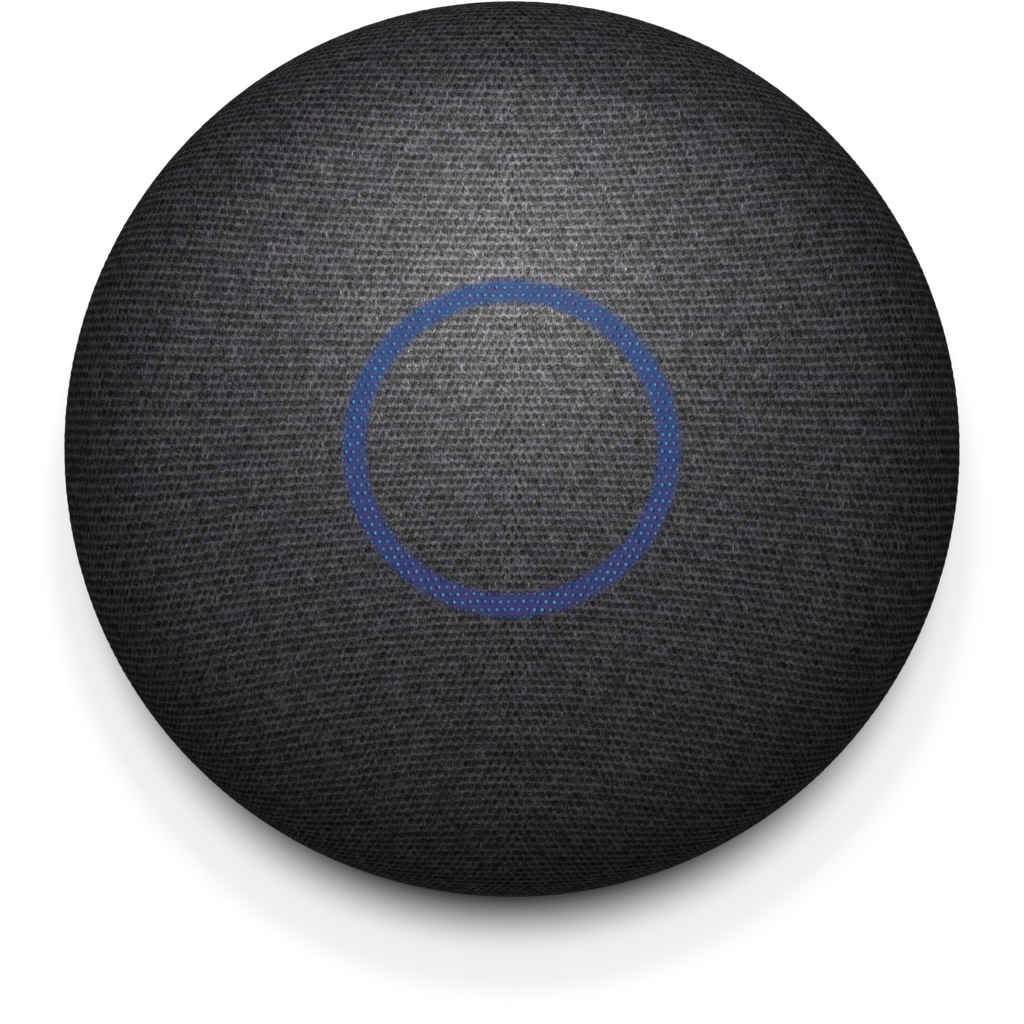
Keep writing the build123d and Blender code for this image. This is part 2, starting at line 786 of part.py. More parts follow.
def mute_knob():
    """Sliding knob of the microphone switch, with a flange that closes the casing's window."""
    rest_y = -mute_travel / 2
    inner = mute_inner_x()
    inwards = (Align.MAX, Align.CENTER, Align.CENTER)
    outwards = (Align.MIN, Align.CENTER, Align.CENTER)
    flange = Box(mute_flange_thickness, mute_flange_length, mute_flange_height, align=inwards)
    reach = belly_radius(mute_centre_z()) + mute_knob_stand - inner
    knob = Box(reach, mute_knob_length, mute_knob_height, align=outwards)
    knob = fillet(knob.edges().sort_by(Axis.X)[-4:] + knob.edges().filter_by(Axis.X), mute_knob_edge)
    pocket = Box(2 * mute_lever_bite, mute_lever + 2 * glue_gap, mute_lever + 2 * glue_gap)
    solid = Pos(inner, 0, 0) * (flange + knob)
    solid -= Pos(inner - mute_flange_thickness, 0, 0) * pocket
    groove = Pos(inner + reach, 0, 0) * Box(2 * mute_grip_depth, 2 * mute_grip_depth, 2 * mute_knob_height)
    solid -= [Pos(0, step * mute_grip_pitch, 0) * groove for step in (-1, 0, 1)]
    return Pos(0, rest_y, mute_centre_z()) * solid


def mute_body_x():
    """Front of the mute switch's body."""
    return mute_inner_x() - mute_flange_thickness - slide_gap


def mute_switch_body():
    """Slide switch on the main board, slotted for its lever."""
    front = mute_body_x()
    top = board_top_z + mute_body_height
    body = block(mute_body_width, mute_body_length, board_top_z, top, x=front - mute_body_width / 2)
    slot = Box(2 * mute_lever_bite, mute_lever + mute_travel + 2 * slide_gap, mute_lever + 2 * slide_gap)
    return body - Pos(front, 0, mute_centre_z()) * slot


def mute_lever_pin():
    """Lever of the slide switch, which the knob carries along."""
    inner = mute_body_x() - mute_lever_bite + slide_gap
    outer = mute_inner_x() - mute_flange_thickness + mute_lever_bite - glue_gap
    return block(
        outer - inner, mute_lever, mute_centre_z() - mute_lever / 2, mute_centre_z() + mute_lever / 2,
        x=(outer + inner) / 2, y=-mute_travel / 2,
    )


# ---------------------------------------------------------------- reset button
def reset_ring():
    """Radius at which the reset button is, inside the standoff at the same angle."""
    return standoff_ring() - standoff_radius - reset_gap - tact_size / 2


def tact_z():
    """Underside of the reset switch's body."""
    return board_z - tact_height


def reset_flange_top():
    """Top of the reset button's flange, at rest."""
    return floor_z + glue_gap + reset_flange_thickness


def reset_button():
    """Recessed button in the underside, held in by its flange."""
    face = reset_recess
    stem = Cylinder(reset_radius, floor_z + glue_gap - face, align=LOW)
    stem = fillet(stem.edges().sort_by(Axis.Z)[0], reset_radius / 6)
    flange = Cylinder(reset_radius + reset_flange, reset_flange_thickness, align=LOW)
    return at(reset_ring(), reset_angle) * (Pos(0, 0, face) * stem + Pos(0, 0, floor_z + glue_gap) * flange)


def reset_plunger():
    """Plunger of the reset switch, resting on the button."""
    bottom = reset_flange_top()
    height = tact_z() + plunger_bite - bottom
    return at(reset_ring(), reset_angle, bottom) * Cylinder(plunger_radius, height, align=LOW)


def reset_switch():
    """Push switch under the main board."""
    body = Box(tact_size, tact_size, tact_height, align=LOW)
    hole = Cylinder(plunger_radius + slide_gap, 2 * (plunger_bite + reset_travel + slide_gap))
    return at(reset_ring(), reset_angle, tact_z()) * (body - hole)


# ---------------------------------------------------------------- speaker box
def box_side_radius(z):
    """Outer radius of the speaker box's sloping side."""
    return box_floor_radius + (box_radius - box_floor_radius) * (z - box_z) / (lid_z - box_z)


def speaker_box():
    """Sealed tub behind the loudspeaker, with bosses for the base screws."""
    inner_floor = box_side_radius(box_floor_z) - box_wall
    outline = Polyline(
        (0, box_z),
        (box_floor_radius, box_z),
        (box_radius, lid_z),
        (box_radius - box_wall, lid_z),
        (inner_floor, box_floor_z),
        (0, box_floor_z),
        close=True,
    )
    box = turned(make_face(outline))
    pilot_depth = base_screw_bite + screw_tip_gap
    boss = Cylinder(box_boss_radius, pilot_depth + box_wall, align=LOW)
    box += around(boss, base_screw_ring, QUARTERS, box_z)
    pilot = Cylinder(base_screw_radius + thread_gap, pilot_depth, align=LOW)
    box -= around(pilot, base_screw_ring, QUARTERS, box_z)
    return box - wire_place() * Cylinder(grommet_radius, 2 * body_height)


def box_lid():
    """Lid of the speaker box, which carries the loudspeaker."""
    lid = disc(box_radius, lid_z, lid_top_z)
    register_radius = box_side_radius(lid_z - box_lid_register) - box_wall - fit_gap
    lid += tube(register_radius - box_wall, register_radius, lid_z - box_lid_register, lid_z)
    tip_z = flange_top_z - driver_screw_length
    boss = Cylinder(ear_radius, lid_z - tip_z + screw_tip_gap + box_lid_thickness / 2, align=HIGH)
    lid += around(boss, ear_ring_radius, QUARTERS, lid_z)
    lid -= disc(cutout_radius, 0, body_height)
    pilot = Cylinder(driver_screw_radius + thread_gap, lid_top_z - tip_z + screw_tip_gap, align=HIGH)
    return lid - around(pilot, ear_ring_radius, QUARTERS, lid_top_z)


def antenna_at(angle):
    """Printed antenna film on the speaker box's side."""
    low = (box_z + lid_z - antenna_height) / 2
    high = low + antenna_height
    points = [
        (box_side_radius(low) + glue_gap, low),
        (box_side_radius(low) + glue_gap + antenna_film, low),
        (box_side_radius(high) + glue_gap + antenna_film, high),
        (box_side_radius(high) + glue_gap, high),
    ]
    return turned_about(make_face(Polyline(*points, close=True)), angle, antenna_angle)


# ---------------------------------------------------------------- loudspeaker
def ear_sketch(radius, hole=0.0):
    """The flange's outline with its four ears."""
    outline = Circle(radius)
    for angle in QUARTERS:
        outline += Rot(0, 0, angle) * Pos(ear_ring_radius, 0) * Circle(ear_radius)
        outline += Rot(0, 0, angle) * Pos(ear_ring_radius / 2, 0) * Rectangle(ear_ring_radius, 2 * ear_radius)
    if hole:
        outline -= [Rot(0, 0, angle) * Pos(ear_ring_radius, 0) * Circle(hole) for angle in QUARTERS]
    return outline


def ledge_z():
    """Height of the ledge that carries the spider."""
    return yoke_z + motor_height + basket_plate + spider_ledge_height


def driver_gasket():
    """Gasket between the flange and the lid."""
    sheet = ear_sketch(flange_radius, driver_screw_radius + fit_gap) - Circle(cutout_radius)
    return Pos(0, 0, lid_top_z) * extrude(sheet, box_gasket_thickness)


def driver_basket():
    """Pressed-steel basket: eared flange, sloping wall with windows, spider ledge and motor plate."""
    floor = yoke_z + motor_height
    ledge = ledge_z()
    mouth, waist = basket_mouth_radius, basket_waist_radius
    ledge_inner = waist - spider_ledge_width - basket_wall
    outline = Polyline(
        (mouth - basket_wall, flange_top_z),
        (mouth + 2 * basket_wall, flange_top_z),
        (mouth + 2 * basket_wall, flange_z),
        (mouth + basket_wall, flange_z),
        (waist + basket_wall, ledge - basket_wall),
        (waist - spider_ledge_width, ledge - basket_wall),
        (waist - spider_ledge_width, floor),
        (top_plate_bore, floor),
        (top_plate_bore, floor + basket_plate),
        (ledge_inner, floor + basket_plate),
        (ledge_inner, ledge),
        (waist, ledge),
        (mouth - basket_wall, flange_z),
        close=True,
    )
    basket = turned(make_face(outline))
    flange = ear_sketch(flange_radius, driver_screw_radius + fit_gap / 2) - Circle(mouth)
    basket += Pos(0, 0, flange_z) * extrude(flange, flange_thickness)
    window_low = ledge + basket_window_edge
    window_high = flange_z - basket_window_edge
    window = Rectangle(2 * (mouth - waist), window_high - window_low)
    cut = Pos((waist + mouth) / 2, (window_low + window_high) / 2) * window
    return basket - [turned_about(cut, angle, basket_window_angle) for angle in QUARTERS]


def motor_top_plate():
    """Steel plate round the gap."""
    top = yoke_z + motor_height
    return tube(top_plate_bore, top_plate_radius, top - top_plate_thickness, top)


def magnet():
    """Ring magnet, with broken edges."""
    bottom = yoke_z + yoke_plate
    ring = tube(magnet_bore_radius, magnet_radius, bottom, bottom + magnet_height)
    outer = ring.edges().filter_by(GeomType.CIRCLE).sort_by(SortBy.RADIUS)[-2:]
    return chamfer(outer, motor_chamfer)


def yoke():
    """Steel back plate with its pole."""
    plate = disc(yoke_radius, yoke_z, yoke_z + yoke_plate)
    plate = chamfer(plate.edges().sort_by(Axis.Z)[0], motor_chamfer)
    return plate + disc(pole_radius, yoke_z, yoke_z + motor_height)


def cone_neck_z():
    """Underside of the cone at its neck, where it meets the coil's former."""
    return flange_top_z - cone_depth


def cone_face_z(radius):
    """Height of the cone's front face at a radius."""
    neck = former_outer + glue_gap
    share = (radius - neck) / (cone_radius - cone_edge - neck)
    return cone_neck_z() + cone_wall + share * (cone_depth - cone_wall)


def winding_z():
    """Underside of the winding, centred on the top plate."""
    return yoke_z + motor_height - top_plate_thickness / 2 - coil_winding_height / 2


def coil_former():
    """Thin tube that carries the voice coil."""
    top = cone_face_z(former_outer) + former_overhang / 2
    return tube(former_inner, former_outer, winding_z() - former_overhang, top)


def voice_coil():
    """Copper winding on the former."""
    return tube(former_outer, winding_outer, winding_z(), winding_z() + coil_winding_height)


def cone():
    """Paper cone with a flat edge for the surround."""
    neck = former_outer + glue_gap
    edge = cone_radius - cone_edge
    low, high = cone_neck_z(), flange_top_z
    back = Polyline((neck, low), (edge, high - cone_wall), (cone_radius, high - cone_wall))
    front = Polyline((cone_radius, high), (edge, high), (neck, low + cone_wall))
    rim = Line((cone_radius, high - cone_wall), (cone_radius, high))
    throat = Line((neck, low + cone_wall), (neck, low))
    return turned(make_face(back + front + rim + throat))


def dust_cap():
    """Domed cap over the voice coil, glued to the cone by its edge."""
    seat = cone_face_z(dust_cap_radius) + glue_gap
    outer = (dust_cap_radius**2 + dust_cap_rise**2) / (2 * dust_cap_rise)
    centre = seat + dust_cap_rise - outer
    shell = Pos(0, 0, centre) * (Sphere(outer) - Sphere(outer - cone_wall))
    return shell & disc(dust_cap_radius + 1, seat, seat + dust_cap_rise + 1)


def surround():
    """Half-roll rubber edge between the cone and the basket, with a flat lip on each."""
    inner, outer = cone_radius, basket_mouth_radius
    seat = flange_top_z + glue_gap
    lip_top = seat + surround_wall
    crest = flange_top_z + surround_roll
    middle = (inner + outer) / 2
    inner_lip, outer_lip = inner - surround_inner_lip, outer + surround_outer_lip
    upper = ThreePointArc((inner, lip_top), (middle, crest), (outer, lip_top))
    root_in, root_out = inner + surround_wall, outer - surround_wall
    lower = ThreePointArc((root_in, seat), (middle, crest - surround_wall), (root_out, seat))
    inside = Polyline((inner, lip_top), (inner_lip, lip_top), (inner_lip, seat), (root_in, seat))
    outside = Polyline((outer, lip_top), (outer_lip, lip_top), (outer_lip, seat), (root_out, seat))
    return turned(make_face(upper + lower + inside + outside))


def spider():
    """Corrugated disc that centres the voice coil."""
    inner = former_outer + glue_gap
    outer = basket_waist_radius - basket_wall / 3
    middle = ledge_z() + glue_gap + spider_wall / 2
    first = inner + spider_flat
    last = basket_waist_radius - spider_ledge_width - basket_wall - spider_flat / 2
    step = (last - first) / (2 * spider_waves + 1)
    points = [(inner, middle), (first, middle)]
    for k in range(2 * spider_waves):
        points.append((first + (k + 1) * step, middle + (spider_wave if k % 2 == 0 else -spider_wave)))
    points += [(last, middle), (outer, middle)]
    return turned(trace(FilletPolyline(*points, radius=spider_bend), spider_wall))


def driver_screws():
    """Screws that hold the loudspeaker on the lid."""
    one = screw(driver_screw_radius, driver_screw_length, driver_screw_head_radius, driver_screw_head_height)
    return around(one, ear_ring_radius, QUARTERS, flange_top_z)


def terminal_z():
    """Underside of the loudspeaker's terminal strip."""
    return ledge_z() - basket_wall - terminal_thickness


def tag_y():
    """Middle of the solder tags, at the terminal strip's outer edge."""
    return basket_waist_radius - spider_ledge_width + terminal_width - tag_length / 2


def driver_terminals():
    """Terminal strip on the basket's waist, with two solder tags."""
    inner = basket_waist_radius - spider_ledge_width
    bottom, top = terminal_z(), terminal_z() + terminal_thickness
    strip = block(terminal_length, terminal_width, bottom, top, y=inner + terminal_width / 2)
    tag = block(tag_width, tag_length, bottom - tag_thickness, bottom, y=tag_y())
    tags = [Pos(side * tag_pitch / 2, 0, 0) * tag for side in (-1, 1)]
    return strip + tags - disc(inner + glue_gap, 0, body_height)


# ---------------------------------------------------------------- microphones
def mic_boards():
    """Small boards of the two microphones, on the lid."""
    board = Box(mic_board_width, mic_board_length, mic_board_thickness, align=LOW)
    return around(board, mic_ring, mic_angles, lid_top_z)


def microphones():
    """Microphone capsules."""
    z = lid_top_z + mic_board_thickness
    capsule = Box(mic_width, mic_length, mic_height, align=LOW)
    port = Cylinder(mic_port_radius / 2, mic_height / 2, align=HIGH)
    return around(capsule - Pos(0, 0, mic_height) * port, mic_ring, mic_angles, z)


def mic_boots():
    """Rubber boots that seal the microphones to their ports in the dome."""
    bottom = lid_top_z + mic_board_thickness
    top = crown_z(mic_ring, inner_inset)
    boot = Cylinder(mic_boot_radius, top - bottom + 1, align=LOW)
    inside = Box(mic_width + 2 * glue_gap, mic_length + 2 * glue_gap, 2 * (mic_height + glue_gap))
    boot = boot - inside - Cylinder(mic_port_radius, 2 * body_height)
    roof = under_dome(inner_inset + glue_gap)
    return [one & roof for one in around(boot, mic_ring, mic_angles, bottom)]


# ---------------------------------------------------------------- wiring
def connector_ring():
    """Radius at which the flat cable meets the main board."""
    return board_radius() - connector_inset


def flat_cable():
    """Flat cable from the light board, over the box's edge and down to the main board."""
    under = led_board_z - flat_cable_thickness / 2 - glue_gap
    foot = board_top_z + connector_height
    route = FilletPolyline(
        (led_board_outer - cable_lap, under),
        (led_board_outer + cable_lead, under),
        *[shoulder_point(angle, inner_inset + cable_clearance) for angle in cable_bends],
        (lip_inner - cable_wall_gap, base_top_z + lip_height),
        (lip_inner - cable_wall_gap - cable_step, box_z + 2 * connector_height),
        (connector_ring(), foot + connector_height),
        (connector_ring(), foot - connector_slot + glue_gap),
        radius=cable_bend_radius,
    )
    strip = trace(route, flat_cable_thickness)
    ribbon = extrude(Plane.XZ * strip, flat_cable_width / 2, both=True)
    return Rot(0, 0, flat_cable_angle) * ribbon


def cable_connectors():
    """Sockets of the flat cable and of the speaker wire on the main board."""
    flat = Box(connector_depth, flat_cable_width + 2 * connector_end, connector_height, align=LOW)
    slot = Box(flat_cable_thickness + 2 * glue_gap, flat_cable_width + 2 * glue_gap, 2 * connector_slot)
    slot = Pos(0, 0, connector_height) * slot
    wire = Box(wire_socket_length, wire_socket_width, wire_socket_height, align=LOW)
    hole = Cylinder(speaker_wire_radius + glue_gap, wire_socket_height)
    hole = Pos(0, 0, wire_socket_height) * hole
    flat_place = at(connector_ring(), flat_cable_angle, board_top_z)
    return [flat_place * (flat - slot), wire_place(board_top_z) * (wire - hole)]


def wire_place(z=0.0):
    """Where the speaker wire goes through the box's floor."""
    return Pos(0, wire_y, z)


def speaker_wire():
    """Speaker wire from the terminals down through the grommet to its socket."""
    top = terminal_z() - tag_thickness - glue_gap
    turn = top - speaker_wire_drop
    route = FilletPolyline(
        (0, tag_y(), top),
        (0, tag_y(), turn),
        (0, wire_y, turn - speaker_wire_slope),
        (0, wire_y, board_top_z + wire_socket_height / 2),
        radius=speaker_wire_bend,
    )
    return sweep(Plane(route @ 0, z_dir=route % 0) * Circle(speaker_wire_radius), route)


def wire_grommet():
    """Rubber grommet in the box's floor."""
    body = Cylinder(grommet_radius - glue_gap, box_wall + 2 * grommet_flange, align=LOW)
    flange = Cylinder(grommet_radius + grommet_overhang, grommet_flange - glue_gap, align=LOW)
    upper = Pos(0, 0, box_wall + grommet_flange + glue_gap) * flange
    hole = Cylinder(speaker_wire_radius + glue_gap, 2 * body_height)
    return wire_place(box_z - grommet_flange) * (body + upper + flange - hole)


# ---------------------------------------------------------------- writing
PARTS = {
    "fabric_cover": fabric_cover,
    "grille_dome": grille_dome,
    "light_ring": light_ring,
    "led_board": led_board,
    "leds": leds,
    "foam_ring": foam_ring,
    "touch_film_left": lambda: touch_film_at(180.0),
    "touch_film_right": lambda: touch_film_at(0.0),
    "base_shell": base_shell,
    "rubber_foot": rubber_foot,
    "base_screws": base_screws,
    "main_board": main_board,
    "board_screws": board_screws,
    "shield_can": shield_can,
    "processor": processor,
    "thermal_pad": thermal_pad,
    "heat_spreader": heat_spreader,
    "board_chips": board_chips,
    "power_socket": power_socket,
    "power_tongue": power_tongue,
    "mute_knob": mute_knob,
    "mute_switch_body": mute_switch_body,
    "mute_lever": mute_lever_pin,
    "reset_button": reset_button,
    "reset_plunger": reset_plunger,
    "reset_switch": reset_switch,
    "speaker_box": speaker_box,
    "box_lid": box_lid,
    "antennas": lambda: [antenna_at(angle) for angle in antenna_places],
    "driver_gasket": driver_gasket,
    "driver_basket": driver_basket,
    "motor_top_plate": motor_top_plate,
    "magnet": magnet,
    "yoke": yoke,
    "coil_former": coil_former,
    "voice_coil": voice_coil,
    "cone": cone,
    "dust_cap": dust_cap,
    "surround": surround,
    "spider": spider,
    "driver_screws": driver_screws,
    "driver_terminals": driver_terminals,
    "mic_boards": mic_boards,
    "microphones": microphones,
    "mic_boots": mic_boots,
    "flat_cable": flat_cable,
    "cable_connectors": cable_connectors,
    "speaker_wire": speaker_wire,
    "wire_grommet": wire_grommet,
}

os.makedirs("parts", exist_ok=True)
for name, make in PARTS.items():
    shape = make()
    solids = [s for item in (shape if isinstance(shape, list) else [shape]) for s in item.solids()]
    export_step(solids[0] if len(solids) == 1 else Compound(solids), f"parts/{name}.step")
print(f"{len(PARTS)} nodes, {body_diameter:.1f} mm across, {body_height:.2f} mm high")
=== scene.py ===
# %% [markdown]
# # A puck-shaped smart speaker
# The imported CAD model is the frame: every node is already in its place, in metres, with +Z up. This
# script gives it its looks. The cover's cloth is a new mesh, because a plain CAD solid can't show a knit,
# and the loudspeaker's two soft rings are cut into sectors. Everything else keeps its CAD mesh and gets
# the finish of its real material.

# %% Load the frame
import json
import math
import random

import bmesh
import bpy
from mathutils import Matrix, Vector

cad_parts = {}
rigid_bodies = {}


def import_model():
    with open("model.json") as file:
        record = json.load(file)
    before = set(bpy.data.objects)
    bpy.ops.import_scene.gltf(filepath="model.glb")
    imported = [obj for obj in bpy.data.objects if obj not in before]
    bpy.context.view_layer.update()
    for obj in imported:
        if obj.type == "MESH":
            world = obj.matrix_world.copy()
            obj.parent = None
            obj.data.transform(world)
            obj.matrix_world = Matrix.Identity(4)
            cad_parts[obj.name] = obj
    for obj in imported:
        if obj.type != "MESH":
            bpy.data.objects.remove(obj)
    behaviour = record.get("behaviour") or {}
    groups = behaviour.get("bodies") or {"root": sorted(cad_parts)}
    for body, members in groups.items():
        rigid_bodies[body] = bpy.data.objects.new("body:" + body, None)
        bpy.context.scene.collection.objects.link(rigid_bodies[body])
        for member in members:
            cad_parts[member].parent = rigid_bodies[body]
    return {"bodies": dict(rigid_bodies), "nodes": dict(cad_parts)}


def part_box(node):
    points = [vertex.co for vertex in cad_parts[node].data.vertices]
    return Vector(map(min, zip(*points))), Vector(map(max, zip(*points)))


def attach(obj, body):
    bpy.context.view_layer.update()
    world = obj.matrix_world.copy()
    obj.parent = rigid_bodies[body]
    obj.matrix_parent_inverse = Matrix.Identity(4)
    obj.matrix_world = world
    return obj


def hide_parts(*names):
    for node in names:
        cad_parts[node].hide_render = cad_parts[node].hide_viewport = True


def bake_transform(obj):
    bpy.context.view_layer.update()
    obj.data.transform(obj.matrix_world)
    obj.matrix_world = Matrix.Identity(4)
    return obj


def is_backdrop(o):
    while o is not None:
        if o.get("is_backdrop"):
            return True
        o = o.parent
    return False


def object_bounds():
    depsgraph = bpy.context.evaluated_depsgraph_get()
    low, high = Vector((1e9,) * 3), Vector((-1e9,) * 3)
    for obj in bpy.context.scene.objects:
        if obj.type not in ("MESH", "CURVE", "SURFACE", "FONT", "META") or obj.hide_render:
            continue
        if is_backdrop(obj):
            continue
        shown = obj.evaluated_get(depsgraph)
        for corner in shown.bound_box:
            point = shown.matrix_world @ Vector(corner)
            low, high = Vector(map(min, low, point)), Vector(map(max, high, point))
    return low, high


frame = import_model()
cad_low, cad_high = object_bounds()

MM = 0.001
print("bodies:", sorted(frame["bodies"]), "nodes:", len(frame["nodes"]))
print("CAD box in mm:", [round(side / MM, 2) for side in cad_high - cad_low])

# %% [markdown]
# ## Shader maths in Python
# A pattern such as a knit is arithmetic on coordinates. Wired by hand, that takes dozens of Math nodes
# which nobody can read again. So a socket is wrapped in a small class, and each Python operator adds its
# node. The reflected forms make `1 - mask` work too. Every other node comes from one method,
# `Paint.node`.


# %% Sockets that Python can calculate with
class Socket:
    """One output of a shader node. Operators on it add Math nodes."""

    def __init__(self, paint, socket):
        self.paint, self.socket = paint, socket

    def output(self, name):
        return Socket(self.paint, self.socket.node.outputs[name])

    def maths(self, operation, *values):
        inputs = dict(enumerate((self, *values)))
        return self.paint.node("ShaderNodeMath", {"operation": operation}, inputs)

    def reflected(self, operation, value):
        return self.paint.node("ShaderNodeMath", {"operation": operation}, {0: value, 1: self})

    def __add__(self, other):
        return self.maths("ADD", other)

    def __radd__(self, other):
        return self.reflected("ADD", other)

    def __sub__(self, other):
        return self.maths("SUBTRACT", other)

    def __rsub__(self, other):
        return self.reflected("SUBTRACT", other)

    def __mul__(self, other):
        return self.maths("MULTIPLY", other)

    def __rmul__(self, other):
        return self.reflected("MULTIPLY", other)

    def __truediv__(self, other):
        return self.maths("DIVIDE", other)

    def __rtruediv__(self, other):
        return self.reflected("DIVIDE", other)

    def __pow__(self, other):
        return self.maths("POWER", other)

    def __rpow__(self, other):
        return self.reflected("POWER", other)

    def __abs__(self):
        return self.maths("ABSOLUTE")

    def __round__(self):
        return self.maths("ROUND")

    def fraction(self):
        return self.maths("FRACT")

    def from_whole(self):
        """How far it is from the nearest whole number, from 0 to 0.5."""
        return abs(self - round(self))

    def rises(self, start, end):
        """0 below start, 1 above end, with a smooth step between. With end below start it falls."""
        settings = {"interpolation_type": "SMOOTHSTEP"}
        ends = {"From Min": start, "From Max": end}
        if end < start:
            ends = {"From Min": end, "From Max": start, "To Min": 1.0, "To Max": 0.0}
        return self.paint.node("ShaderNodeMapRange", settings, {"Value": self, **ends})


class Paint:
    """A material under construction."""

    def __init__(self, name):
        self.material = bpy.data.materials.new(name)
        self.material.use_nodes = True
        self.material.node_tree.nodes.clear()

    def node(self, kind, settings=None, inputs=None):
        """Adds a node: its settings first, then the values or links of its sockets."""
        node = self.material.node_tree.nodes.new(kind)
        for name, value in (settings or {}).items():
            setattr(node, name, value)
        for name, value in (inputs or {}).items():
            if isinstance(value, Socket):
                self.material.node_tree.links.new(value.socket, node.inputs[name])
            else:
                node.inputs[name].default_value = value
        shown = [socket for socket in node.outputs if socket.enabled]
        return Socket(self, shown[0]) if shown else None

    def vector(self, operation, a, b):
        return self.node("ShaderNodeVectorMath", {"operation": operation}, {0: a, 1: b})

    def scaled(self, vector, factors):
        return self.vector("MULTIPLY", vector, factors)

    def parts(self, vector):
        split = self.node("ShaderNodeSeparateXYZ", inputs={0: vector})
        return split, split.output("Y"), split.output("Z")

    def shaded(self, colour, factor):
        """A colour made lighter or darker by a factor that may vary over the surface."""
        base = colour if isinstance(colour, Socket) else colour[:3]
        return self.node("ShaderNodeVectorMath", {"operation": "SCALE"}, {0: base, "Scale": factor})

    def joined(self, x, y, z=0.0):
        return self.node("ShaderNodeCombineXYZ", inputs={0: x, 1: y, 2: z})

    def place(self):
        """Object coordinates, in millimetres."""
        spot = self.node("ShaderNodeTexCoord").output("Object")
        return self.scaled(spot, (1 / MM,) * 3)

    def polar(self):
        """Distance from the speaker's axis in millimetres, direction in turns, and height."""
        x, y, z = self.parts(self.place())
        return (x * x + y * y) ** 0.5, y.maths("ARCTAN2", x) / math.tau, z

    def noise(self, vector, scale=1.0, detail=2.0, roughness=0.5):
        inputs = {"Vector": vector, "Scale": scale, "Detail": detail, "Roughness": roughness}
        return self.node("ShaderNodeTexNoise", inputs=inputs)

    def chance(self, vector):
        """One random value for each whole-numbered place."""
        return self.node("ShaderNodeTexWhiteNoise", {"noise_dimensions": "3D"}, {"Vector": vector})

    def mix(self, share, a, b):
        """Colour a where share is 0 and colour b where it is 1. The node's colour sockets are 6 and 7."""
        settings = {"data_type": "RGBA"}
        return self.node("ShaderNodeMix", settings, {0: share, 6: a, 7: b})

    def bump(self, height, depth, strength=1.0):
        """A normal from a height of 0 to 1 that stands for that depth in metres."""
        inputs = {"Height": height, "Distance": depth, "Strength": strength}
        return self.node("ShaderNodeBump", inputs=inputs)

    def finish(self, **sockets):
        """Closes the material with a Principled shader. A name has an underscore for each space."""
        inputs = {name.replace("_", " "): value for name, value in sockets.items()}
        shader = self.node("ShaderNodeBsdfPrincipled", inputs=inputs)
        self.node("ShaderNodeOutputMaterial", inputs={"Surface": shader})
        return self.material


def grey(level, blue=0.0):
    """A neutral colour, with a touch of blue."""
    return (level, level, level * (1 + blue), 1.0)


# %% [markdown]
# ## The cloth's shape
# The cover is one piece of knitted cloth, pulled over the dome and folded in under its edge. The knit's
# rows don't run straight: the pull bends them down at the sides and spreads them outwards. Small
# polynomials say how much, with the dome's radius as their unit. A grid is the natural start. One stitch
# is two by two of its squares, so that a hole, the yarn beside it and the yarn between two rows each have
# a vertex to sink or lift. The grid is then laid on the dome by walking outwards from the top: a point
# keeps its distance along the cloth, and the dome's bend does the rest.

# %% Sizes of the dome under the cloth
cover_low, cover_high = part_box("fabric_cover")
RADIUS = cover_high.x
TOP = cover_high.z
HEM = cover_low.z
CLOTH = 0.8 * MM  # how thick the cloth is
SKIRT = 4.0 * MM  # its straight part above the hem
SHOULDER = 16.0 * MM  # the radius over which the dome turns down
WIDEST = HEM + SKIRT
RISE = TOP - WIDEST
SHOULDER_REACH = RADIUS - SHOULDER
CROWN = (SHOULDER_REACH**2 + RISE**2 - SHOULDER**2) / 2 / (RISE - SHOULDER)
CROWN_TURN = math.asin(SHOULDER_REACH / (CROWN - SHOULDER))
CROWN_ARC = CROWN * CROWN_TURN
SHOULDER_ARC = SHOULDER * (math.pi / 2 - CROWN_TURN)
WHOLE_ARC = CROWN_ARC + SHOULDER_ARC + SKIRT
print(f"crown radius {CROWN / MM:.1f} mm, cloth from the top to the hem {WHOLE_ARC / MM:.1f} mm")


# %% A point on the dome
def on_dome(arc, direction, lift):
    """The point `arc` along the cloth from the top, in that direction, and `lift` outside its surface."""
    if arc < CROWN_ARC:
        turn = arc / CROWN
        out = (CROWN + lift) * math.sin(turn)
        up = TOP - CROWN + (CROWN + lift) * math.cos(turn)
    elif arc < CROWN_ARC + SHOULDER_ARC:
        turn = CROWN_TURN + (arc - CROWN_ARC) / SHOULDER
        out = SHOULDER_REACH + (SHOULDER + lift) * math.sin(turn)
        up = WIDEST + (SHOULDER + lift) * math.cos(turn)
    else:
        out = RADIUS + lift
        up = WIDEST - (arc - CROWN_ARC - SHOULDER_ARC)
    return Vector((out * math.cos(direction), out * math.sin(direction), up))


# %% Where a stitch lies
STITCHES = 59.8  # in one radius, if the cloth were as close everywhere as in the middle
ROWS = 56  # likewise
ROW_SAG = 0.0605  # how far a row hangs at its ends
ROW_SAG_END = 0.03  # what the outer end takes back of that
ROW_SPREAD = 0.29  # how much rows part towards the sides
ROW_OPEN = 0.032  # and towards front and rear
STITCH_SPREAD = 0.225  # how much stitches widen towards front and rear
STITCH_OPEN = 0.02  # and towards the sides


def on_cloth(stitch, row):
    """Place of a stitch on the cloth, as (arc, direction) from the middle of the dome."""
    x, y = stitch / STITCHES, row / ROWS
    pulled_x = x * (1 + STITCH_SPREAD * y**2 + STITCH_OPEN * x**2)
    pulled_y = y + (ROW_SPREAD * y - ROW_SAG) * x**2 + ROW_SAG_END * x**4 + ROW_OPEN * y**3
    return RADIUS * math.hypot(pulled_x, pulled_y), math.atan2(pulled_y, pulled_x)


